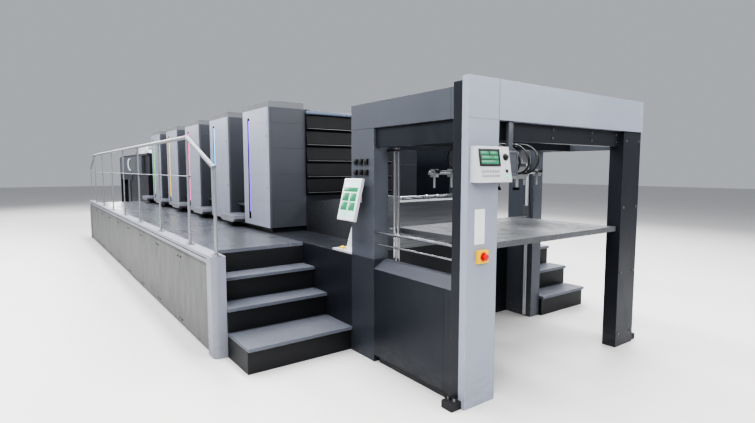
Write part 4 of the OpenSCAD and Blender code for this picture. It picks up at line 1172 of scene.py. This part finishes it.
class PRESS_OT_suction_head(bpy.types.Operator):
    """Fits the suction head: hoses, cups, valves, knobs and rule"""

    bl_idname = "press.suction_head"
    bl_label = "Suction head"

    def execute(self, context):
        x = 6.34
        routes = []
        for y0, y1, out in [(-0.13, -0.22, 0.27), (-0.05, -0.07, 0.24), (0.06, 0.09, 0.24), (0.14, 0.22, 0.27)]:
            y0, y1 = MID + y0, MID + y1
            routes.append(((6.372, y1, 1.87), (6.4 + out, y1, 1.9), (6.49 + out, y0, 1.6), (6.502, y0, 1.61)))
        for side in (-1, 1):
            for k in (0, 1):
                y = MID + side * (0.34 + 0.07 * k)
                routes.append(((6.308, y, 1.875), (6.1 - 0.06 * k, y, 1.86),
                    (6.02 - 0.05 * k, y - side * 0.06, 1.58), (6.208, MID + side * (0.12 + 0.07 * k), 1.645)))
        sockets = []
        for number, ends in enumerate(routes):
            a, b, c, d = (Vector(p) for p in ends)
            points = []
            for k in range(29):
                t = k / 28
                points.append(a * (1 - t) ** 3 + b * 3 * t * (1 - t) ** 2 + c * 3 * t * t * (1 - t) + d * t ** 3)
            hose = tube(points, 0.009, 12, smooth=False)
            finished(hose, f"head_hose_{number + 1}", "hose_rubber", angle=60)
            for end, inner in ((points[0], points[1]), (points[-1], points[-2])):
                out = (inner - end).normalized()
                side = Vector((0, 1, 0))
                socket = turned([(0, 0.016), (0.016, 0.016), (0.018, 0.013), (0.03, 0.0125)], sides=12)
                sockets.append(stand(socket, face_on(end - out * 0.012, side, out.cross(side))))
        finished(joined(sockets), "head_hose_sockets", "aluminium")
        cup = turned([(0, 0.014), (0.008, 0.016), (0.016, 0.023), (0.026, 0.029), (0.029, 0.027)], (0, 0, 0),
            "-Z", 20)
        places = [(x - 0.15, MID + y, 1.476) for y in (-0.2, -0.09, 0.09, 0.2)]
        places += [(x + 0.1, MID + y, 1.486) for y in (-0.15, 0.15)]
        finished(cup, "head_sucker_cups", "black_rubber", at=places)
        knob = put(turned([(0, 0.01), (0.02, 0.01), (0.022, 0.03), (0.038, 0.03), (0.042, 0.024)], sides=20),
            (6.4895, MID - 0.19, 1.635), "+X")
        wheel = put(
            turned([(0, 0.012), (0.02, 0.012), (0.022, 0.045), (0.034, 0.045), (0.037, 0.038)], sides=28),
            (x + 0.03, MID - 0.2298, 1.62), "-Y")
        finished(joined([knob, wheel]), "head_knobs", "black_plastic")
        valves = block((x + 0.02, MID - 0.13, 1.729), (x + 0.05, MID - 0.09, 1.775), 0.003)
        finished(in_row(valves, 5, (0, 0.055, 0)), "head_valves", "black_plastic")
        rule = block((x - 0.098, MID - 0.75, 1.6305), (x - 0.062, MID + 0.75, 1.6345), 0.0008)
        finished(rule, "head_rule", "bright_steel")
        clamp = put(turned([(0, 0.01), (0.012, 0.01), (0.014, 0.02), (0.026, 0.018)], sides=14), (0, 0, 0),
            "+X")
        finished(clamp, "head_clamp_screws", "black_plastic",
            at=[(x - 0.0502, MID + y, 1.63) for y in (-0.7, -0.5, 0.5, 0.7)])
        plate_top = put(plate(0.12, 0.28, 0.008, 0.012, 0.003), (6.355, MID, 1.7298), "+Z")
        finished(plate_top, "head_cover_plate", "panel_grey")
        box = block((6.335, MID + 0.28, 1.7), (6.395, MID + 0.42, 1.829), 0.006)
        sink(box, "+X", 0.014, 0.005)
        finished(box, "head_valve_box", "aluminium")
        return {"FINISHED"}


class PRESS_OT_feeder_fittings(bpy.types.Operator):
    """Adds the feeder's foot bolts, window bars, lifting spindles and the tapes and bars of its table"""

    bl_idname = "press.feeder_fittings"
    bl_label = "Feeder fittings"

    def execute(self, context):
        bolt = turned([(0, 0.017), (0.008, 0.017), (0.009, 0.012), (0.024, 0.012)], (0, 0, 0), "Z", 12)
        places = [(x, y, 0.055) for x in (6.965, 7.015) for y in (OS - 0.045, DS + 0.045)]
        finished(bolt, "feeder_foot_bolts", "screw_steel", at=places)
        bar = tube([(6.015, OS + 0.022, 1.12), (6.93, OS + 0.022, 1.12)], 0.012, 12, False)
        low = tube([(6.015, OS + 0.022, 1.02), (6.93, OS + 0.022, 1.02)], 0.008, 12, False)
        finished(joined([bar, low]), "window_guard_bars", "bright_steel")
        rod = tube([(6.06, OS + 0.185, 0.02), (6.06, OS + 0.185, 1.829)], 0.014, 12, False)
        thin = tube([(6.11, OS + 0.185, 0.02), (6.11, OS + 0.185, 1.829)], 0.009, 12, False)
        finished(joined([rod, thin]), "feeder_lift_spindles", "bright_steel")
        holder = block((5.987, OS + 0.14, 0.04), (6.125, OS + 0.2, 0.06), 0.003)
        finished(holder, "feeder_spindle_holders", "dark_steel", at=[(0, 0, 0), (0, 0, 1.755)])
        up = Vector((1.54, 0, 0.15)).normalized()
        right = Vector((0, -1, 0))
        middle = Vector(((3.87 + 5.41) / 2, MID, (1.18 + 1.33) / 2))
        strip = tile(0.022, 0.72, 0.003, 0.001)
        stand(strip, face_on(middle, right, up))
        finished(strip, "feed_tapes", "black_rubber",
            at=[(0, y, 0) for y in (-0.42, -0.25, -0.08, 0.08, 0.25, 0.42)])
        bars = []
        for share in (-0.5, -0.1, 0.32):
            at = middle + up * share * 1.4 + Vector((0, 0, 0.035))
            bars.append(tube([at - right * 0.6, at + right * 0.6], 0.012, 12, False))
            for y in (-0.42, -0.25, 0.25, 0.42):
                wheel = turned([(0, 0.02), (0.004, 0.028), (0.018, 0.028), (0.022, 0.02)],
                    (at.x, MID + y - 0.011, at.z - 0.004), "Y", 18)
                bars.append(wheel)
        finished(joined(bars), "feed_table_bars", "bright_steel")
        return {"FINISHED"}


class PRESS_OT_railing_fittings(bpy.types.Operator):
    """Adds the flanges and bolts of the railing posts, the wire clips and the tube sleeves"""

    bl_idname = "press.railing_fittings"
    bl_label = "Railing fittings"

    def execute(self, context):
        along = [(-3.34 + 7.64 / 6 * k, RAIL_OS) for k in range(7)] + [(-4.16, RAIL_OS), (5.12, RAIL_OS)]
        along += [(x, RAIL_DS) for x in (-4.41, -3.31, -2.21, -0.21, 0.44, 1.09)]
        flange = block((-0.06, -0.03, 0.8995), (0.06, 0.03, 0.908), 0.002)
        select_faces(flange, "+Z")
        bpy.ops.mesh.inset(thickness=0.004, depth=0.001)
        mode("OBJECT")
        finished(flange, "railing_flanges", "rail_paint", at=[(x, y, 0) for x, y in along])
        bolt = turned([(0, 0.009), (0.006, 0.009), (0.007, 0.006)], (0, 0, 0.907), "Z", 6)
        finished(bolt, "railing_bolts", "screw_steel",
            at=[(x + s, y, 0) for x, y in along for s in (-0.045, 0.045)])
        clip = turned([(0, 0.011), (0.002, 0.014), (0.01, 0.014), (0.012, 0.011)], (0, 0, 1.5784), "X", 12)
        wired = along[:7] + along[9:]
        finished(clip, "railing_wire_clips", "screw_steel",
            at=[(x + s, y, 0) for x, y in wired for s in (-0.042, 0.03)])
        joint = turned([(0, 0.0215), (0.002, 0.0235), (0.048, 0.0235), (0.05, 0.0215)], (0, 0, 1.96), "X", 24)
        places = [(x, RAIL_OS,
            0) for x in (-3.36, -0.82, 1.73, 4.25)] + [(x, RAIL_DS, 0) for x in (-3.34, 0.41)]
        finished(joint, "railing_sleeves", "rail_paint", at=places)
        return {"FINISHED"}


class PRESS_OT_delivery_panels(bpy.types.Operator):
    """Adds the delivery's control panel, lamps, latches and buttons"""

    bl_idname = "press.delivery_panels"
    bl_label = "Delivery panels"

    def execute(self, context):
        x = -7.1602
        finished(put(plate(0.36, 0.62, 0.004, 0.02, 0.0015), (x, OS + 0.225, 1.595), "-X"),
            "delivery_panel_front", "panel_grey")
        finished(put(plate(0.13, 0.17, 0.008, 0.012, 0.003), (x - 0.0025, OS + 0.256, 1.72), "-X"),
            "delivery_screen_bezel", "black_plastic")
        tiles = [put(tile(w, 0.014, 0.0012), (x - 0.0075, OS + 0.256 + a, 1.72 + b), "-X") for a, w,
            b in [(0, 0.045, 0.045), (0.024, 0.02, 0.0), (-0.024, 0.02, 0.0), (0, 0.045, -0.045)]]
        finished(joined(tiles), "delivery_screen_tiles", "screen_green")
        key = put(tile(0.01, 0.008, 0.004, 0.002), (x - 0.002, OS + 0.2, 1.555), "-X")
        keys = copied(key, [(0, 0.03 * k, 0.028 * r) for k in range(5) for r in range(2)])
        finished(keys, "delivery_keys", "mid_trim")
        stick = turned([(0, 0.02), (0.006, 0.02), (0.01, 0.008), (0.03, 0.006), (0.034, 0.012), (0.044, 0.01)],
            sides=18)
        finished(put(stick, (x - 0.002, OS + 0.15, 1.47), "-X"), "delivery_stick", "black_plastic")
        round_button = put(button(0.016, 0.014), (x - 0.002, 0, 1.36), "-X")
        finished(round_button, "delivery_buttons", "black_plastic", at=[(0, OS + 0.205, 0), (0, OS + 0.295, 0)])
        finished(put(button(0.016, 0.014), (x - 0.002, OS + 0.25, 1.36), "-X"), "delivery_reset",
            "yellow_button")

        face = -7.0098
        case = put(plate(0.066, 0.18, 0.006, 0.004, 0.002, 0.002), (face, 0, 1.2), "-X")
        finished(case, "leg_lamp_cases", "white_plastic", at=[(0, OS + 0.4, 0), (0, DS - 0.4, 0)])
        for y, name, lens in ((OS + 0.4, "leg_lamp_green", "green_lens"), (DS - 0.4, "leg_lamp_white", "white_lens")):
            lamp = put(block((-0.026, -0.08, 0.003), (0.026, 0.08, 0.014), 0.01, 4), (face, y, 1.2), "-X")
            finished(lamp, name, lens)
        round_lamp = put(button(0.024, 0.022), (face, OS + 0.4, 0.75), "-X")
        finished(round_lamp, "leg_yellow_lamp", "yellow_lens")
        finished(put(button(0.014, 0.012), (face, OS + 0.4, 0.83), "-X"), "leg_red_lamp", "red_button")
        latch = put(plate(0.05, 0.022, 0.008, 0.005, 0.003), (face, DS - 0.4, 0.95), "-X")
        finished(latch, "leg_latches", "bright_steel", at=[(0, 0, 0), (0, 0, -0.06)])
        box = block((-6.99, DS - 0.0002, 0.78), (-6.93, DS + 0.03, 1.08), 0.006)
        sink(box, "+Y", 0.006, 0.002)
        finished(box, "drive_side_button_box", "mid_trim")
        red = put(button(0.018, 0.016), (-6.96, DS + 0.0275, 0.86), "+Y")
        finished(red, "drive_side_red_buttons", "red_button", at=[(0, 0, 0), (0, 0, 0.14)])
        lens = block((-5.874, OS + 0.134, 1.13), (-5.8598, OS + 0.194, 1.27), 0.008, 3)
        sink(lens, "-X", 0.006, 0.002)
        finished(lens, "column_green_lamp", "green_lens")
        return {"FINISHED"}


class PRESS_OT_delivery_fittings(bpy.types.Operator):
    """Adds the delivery's handles, locks, blower bar, roller disc and roof fittings"""

    bl_idname = "press.delivery_fittings"
    bl_label = "Delivery fittings"

    def execute(self, context):
        handle = tube(
            [(-5.35, OS + 0.004, 1.92), (-5.35, OS - 0.02, 1.915), (-5.36, OS - 0.036, 1.87),
                (-5.375, OS - 0.04, 1.77), (-5.36, OS - 0.036, 1.67), (-5.325, OS - 0.02, 1.615),
                (-5.32, OS + 0.004, 1.605)], 0.017, 16)
        finished(handle, "hood_grab_handle", "white_plastic")
        finished(put(lock(0.022), (-6.52, OS - 0.0003, 1.72), "-Y"), "hood_lock", "bright_steel")
        slot = put(plate(1.24, 0.04, 0.006, 0.008, 0.005), (-4.45, DS + 0.0002, 1.588), "+Y")
        finished(slot, "hood_slot_handle", "black_plastic")

        x, z = -5.43, 1.64
        disc = turned([(0, 0.03), (0.002, 0.1), (0.008, 0.104), (0.022, 0.104), (0.028, 0.1), (0.03, 0.03)],
            (x, 0.606, z), "Y", 36)
        sink(disc, "Y", 0.008, 0.002)
        finished(disc, "brake_roller_disc", "brown_disc", body="brake_roller")
        ring = turned([(0, 0.0785), (0.001, 0.0805), (0.007, 0.0805), (0.008, 0.0785)], (x, 0, z), "Y", 32)
        pitch = 1.68 / 9
        places = [(0, MID - 0.84 + pitch * k + s, 0) for k in range(9) for s in (0.013, pitch - 0.021)]
        finished(ring, "brake_roller_bands", "screw_steel", body="brake_roller", at=places)

        bar = block((-5.525, MID - 0.895, 1.4998), (-5.49, MID + 0.895, 1.524), 0.003)
        finished(bar, "blower_bar", "dark_steel")
        nozzle = block((-5.533, -0.034, 1.514), (-5.503, 0.034, 1.548), 0.006, 3)
        sink(nozzle, "-X", 0.007, 0.004)
        finished(nozzle, "blower_nozzles", "white_plastic",
            at=[(0, MID - 0.65 + 0.1 * k, 0) for k in range(14)])

        collar = turned([(0, 0.1095), (0.002, 0.1145), (0.022, 0.1145), (0.024, 0.1095)], (-5.851, -0.72, 2.21),
            "Z", 40)
        finished(collar, "exhaust_clamp", "screw_steel")
        case = block((-4.4, -1.325, 2.0195), (-4.2195, -1.085, 2.255), 0.008, 3)
        sink(case, "-X", 0.012, 0.003)
        finished(case, "alarm_case", "white_plastic")
        cap = put(turned([(0, 0.046), (0.012, 0.046), (0.032, 0.034), (0.04, 0.014)], sides=24),
            (-4.3975, -1.21, 2.105), "-X")
        finished(cap, "alarm_red_lens", "red_button")
        lid = put(plate(0.3, 0.2, 0.008, 0.012, 0.003), (-5.03, -1.1, 2.1248), "+Z")
        finished(lid, "switch_box_lid", "mid_trim")
        side = put(lock(0.016), (0, 0, 0), "-Y")
        places = [(x, OS + 0.0202, z) for x in (-4.7, -4.12) for z in (1.02, 1.4)]
        places += [(x, OS + 0.0002, z) for x,
            z in [(-4.0, 1.58), (-4.9, 1.58), (-4.7, 0.4), (-4.12, 0.4), (-5.57, 1.2)]]
        finished(side, "delivery_locks", "screw_steel", at=places)
        return {"FINISHED"}


class PRESS_OT_cabinet_vents(bpy.types.Operator):
    """Adds the perforated panels, louvres and locks of the cabinet doors"""

    bl_idname = "press.cabinet_vents"
    bl_label = "Cabinet vents"

    def execute(self, context):
        for number, x in enumerate(CABINETS):
            for letter, side in (("a", -1), ("b", 1)):
                body = f"cabinet_door_{number + 1}{letter}"
                middle = x + side * 0.2885
                vent = put(plate(0.46, 0.79, 0.005, 0.016, 0.003), (middle, DOOR_FACE - 0.0002, 1.175), "+Y")
                finished(vent, f"door_vent_{number + 1}{letter}", "perforated_sheet", body=body)
                base = put(plate(0.46, 0.13, 0.005, 0.012, 0.004), (middle, DOOR_FACE - 0.0002, 0.52), "+Y")
                slat = block((middle - 0.216, DOOR_FACE + 0.0005, 0.472), (middle + 0.216, 2.4345, 0.478),
                    0.0015)
                louvre = joined([base, in_row(slat, 6, (0, 0, 0.018))])
                finished(louvre, f"door_louvre_{number + 1}{letter}", "cover_trim", body=body)
                if letter == "b":
                    round_lock = put(lock(0.016), (x + 0.3, DOOR_FACE - 0.0002, 1.79), "+Y")
                    finished(round_lock, f"door_lock_{number + 1}", "screw_steel", body=body)
        pocket = block((CABINETS[0] + 0.15, 2.433, 1.02), (CABINETS[0] + 0.36, 2.446, 1.3), 0.004)
        sink(pocket, "+Z", 0.003, 0.02)
        finished(pocket, "door_pocket", "white_plastic", body="cabinet_door_1b")
        return {"FINISHED"}


class PRESS_OT_drive_side_fittings(bpy.types.Operator):
    """Adds the handles, locks, clamps, hatches and trims along the drive side"""

    bl_idname = "press.drive_side_fittings"
    bl_label = "Drive side fittings"

    def execute(self, context):
        handle = put(grab(0.22, 0.035, 0.009), (UNITS[0] + 0.24, DS - 0.0005, 1.3), "+Y")
        finished(handle, "drive_side_handles", "black_plastic", at=UNIT_SHIFTS)
        turn = put(lock(0.015), (UNITS[0], DS - 0.0003, 0), "+Y")
        finished(turn, "drive_side_locks", "screw_steel",
            at=[(s + a, 0, z) for s, _, _ in UNIT_SHIFTS for a in (-0.36, 0.36) for z in (1.66, 1.24)])
        clamp = turned([(0, 0.1505), (0.002, 0.155), (0.02, 0.155), (0.022, 0.1505)], (0, 0, 0.64), "Z", 48)
        finished(clamp, "air_box_clamps", "screw_steel", at=[(-3.17, 2.15, 0), (-2.69, 2.15, 0)])
        seam = block((-0.602, 2.425, 1.978), (0.602, 2.4325, 1.988), 0.002)
        finished(seam, "cabinet_top_trims", "cover_trim", at=[(x, 0, 0) for x in CABINETS])
        hatch = put(plate(0.5, 0.24), (0, 1.7502, 0.45), "+Y")
        finished(hatch, "base_hatches", "mid_trim", at=[(-3.9, 0, 0), (4.6, 0, 0)])
        lip = block((-2.57, DS - 0.003, 2.314), (3.87, DS + 0.003, 2.323), 0.0015)
        finished(lip, "service_rail_lip", "cover_trim")
        handle = put(grab(0.14, 0.03, 0.008), (0.2, 2.2695, 0.62), "+Y")
        finished(handle, "water_box_handle", "black_plastic")
        return {"FINISHED"}


class PRESS_OT_riser_seams(bpy.types.Operator):
    """Adds the flanged edges and handles of the riser hood"""

    bl_idname = "press.riser_seams"
    bl_label = "Riser hood edges"

    def execute(self, context):
        top, y = 2.3, MID - 0.598
        bead = tube(
            [(-2.7, y, 1.87), (-2.712, y, 1.9), (-3.26, y, top - 0.002), (-4.35, y, top - 0.002),
                (-4.46, y, 2.04)], 0.006, 8, False)
        finished(bead, "riser_beads", "riser_paint", at=[(0, 0, 0), (0, 1.196, 0)])
        handle = grab(0.2, 0.03, 0.008)
        stand(handle, face_on((-2.985, MID, 2.0995), (0, 1, 0), (-0.55, 0, 0.4)))
        finished(handle, "riser_handles", "black_plastic", at=[(0, -0.3, 0), (0, 0.3, 0)])
        return {"FINISHED"}


class PRESS_OT_screws(bpy.types.Operator):
    """Adds the rows of cap screws on beams, skirts, hoods and cabinets"""

    bl_idname = "press.screws"
    bl_label = "Screws"

    def execute(self, context):
        small = put(screw(0.009), (0, 0, 0), "-Y")
        places = [(-4.06 + SKIRT_PITCH * k + dx, -2.4302,
            z) for k in range(9) for dx in (0.05, SKIRT_PITCH - 0.05) for z in (0.07, 0.74)]
        finished(small, "skirt_screws", "dark_steel", at=places)
        small = put(screw(0.01), (0, 0, 0), "+X")
        places = [(7.0102, y, z) for y in (-0.9, -0.35, 0.2, 0.6) for z in (1.89, 1.955)]
        places += [(7.0562, y, z) for y in (DS - 0.04, DS - 0.26) for z in (0.12, 0.7, 1.3, 1.9)]
        finished(small, "feeder_beam_screws", "screw_steel", at=places)
        small = put(screw(0.01), (0, 0, 0), "+Y")
        places = [(x, 1.7503,
            z) for x in (-4.41, -3.55, -3.43, -2.57, 0.0, 0.6, 4.2, 4.9) for z in (0.08, 0.76)]
        places += [(c + a, DOOR_FACE + 0.0002, 0.06) for c in CABINETS for a in (-0.56, -0.04, 0.04, 0.56)]
        finished(small, "drive_side_screws", "screw_steel", at=places)
        return {"FINISHED"}


class PRESS_OT_stage(bpy.types.Operator):
    """Sets the floor, the light and the camera"""

    bl_idname = "press.stage"
    bl_label = "Set the stage"

    def execute(self, context):
        settings = context.scene.press_studio
        deselect()
        bpy.ops.mesh.primitive_plane_add(size=90, location=(0, 0, 0))
        floor = settle(context.active_object)
        floor.name = "studio_floor"
        pale = Finish("studio_floor", (0.62, 0.61, 0.6), 0.45)
        floor.data.materials.append(pale.mottled(0.5, 0.03, 0.08).done())
        world = bpy.data.worlds.new("studio")
        context.scene.world = world
        world.use_nodes = True
        world.node_tree.nodes["Background"].inputs[0].default_value = (0.86, 0.89, 0.95, 1)
        world.node_tree.nodes["Background"].inputs[1].default_value = 0.42
        lamps = [
            ((2, -1, 7.5), (0, 0, 0), (16, 1.2), 1050),
            ((2, -5.5, 7.0), (18, 0, 0), (16, 1.2), 1050),
            ((2, 4.5, 7.0), (-18, 0, 0), (16, 1.2), 850),
            ((0, 9.5, 4.5), (-60, 0, 0), (15, 3), 420),
            ((13, -7, 5.5), (50, 0, 38), (6, 4), 640),
            ((12, 4, 5), (52, 0, 110), (6, 4), 260),
            ((-13, -5, 5.5), (52, 0, -60), (6, 4), 420),
            ((-13, 1, 2.4), (90, 0, -90), (4, 2.4), 160),
        ]
        for place, turn, size, power in lamps:
            bpy.ops.object.light_add(type="AREA", location=place, rotation=[math.radians(t) for t in turn])
            lamp = context.active_object.data
            lamp.shape = "RECTANGLE"
            lamp.size, lamp.size_y = size
            lamp.energy = power
        deselect()
        bpy.ops.object.camera_add(location=settings.eye)
        camera = context.active_object
        camera.name = "camera"
        side, dip = settings.azimuth, settings.dip
        look = Vector((-math.sin(side) * math.cos(dip), math.cos(side) * math.cos(dip), -math.sin(dip)))
        camera.rotation_euler = look.to_track_quat("-Z", "Y").to_euler()
        camera.data.sensor_width = 36
        camera.data.lens = settings.lens
        context.scene.camera = camera
        context.scene.view_settings.view_transform = "AgX"
        context.scene.view_settings.look = "AgX - High Contrast"
        return {"FINISHED"}


OPERATORS = [
    PRESS_OT_paint_covers, PRESS_OT_paint_inking, PRESS_OT_paint_feeder, PRESS_OT_paint_galleries,
    PRESS_OT_paint_delivery, PRESS_OT_paint_cabinets, PRESS_OT_light_strips, PRESS_OT_cover_fittings,
    PRESS_OT_guard_trims, PRESS_OT_inks, PRESS_OT_roller_cover_rims, PRESS_OT_unit_treads,
    PRESS_OT_feeder_panels, PRESS_OT_suction_head, PRESS_OT_feeder_fittings, PRESS_OT_railing_fittings,
    PRESS_OT_delivery_panels, PRESS_OT_delivery_fittings, PRESS_OT_cabinet_vents, PRESS_OT_drive_side_fittings,
    PRESS_OT_riser_seams, PRESS_OT_screws, PRESS_OT_stage,
]


class PRESS_PT_sidebar(bpy.types.Panel):
    """Lists the steps and settings of the press"""

    bl_label = "Press"
    bl_space_type = "VIEW_3D"
    bl_region_type = "UI"
    bl_category = "Press"

    def draw(self, context):
        for settings in (context.scene.press_paints, context.scene.press_studio):
            for key in settings.__annotations__:
                self.layout.prop(settings, key)
        for operator in OPERATORS:
            self.layout.operator(operator.bl_idname)


CLASSES = [PressPaints, PressStudio, *OPERATORS, PRESS_PT_sidebar]


def register():
    for cls in CLASSES:
        bpy.utils.register_class(cls)
    bpy.types.Scene.press_paints = bpy.props.PointerProperty(type=PressPaints)
    bpy.types.Scene.press_studio = bpy.props.PointerProperty(type=PressStudio)


def unregister():
    del bpy.types.Scene.press_paints
    del bpy.types.Scene.press_studio
    for cls in reversed(CLASSES):
        bpy.utils.unregister_class(cls)


def main():
    register()
    for operator in OPERATORS:
        group, name = operator.bl_idname.split(".")
        getattr(getattr(bpy.ops, group), name)()


if __name__ == "__main__":
    main()
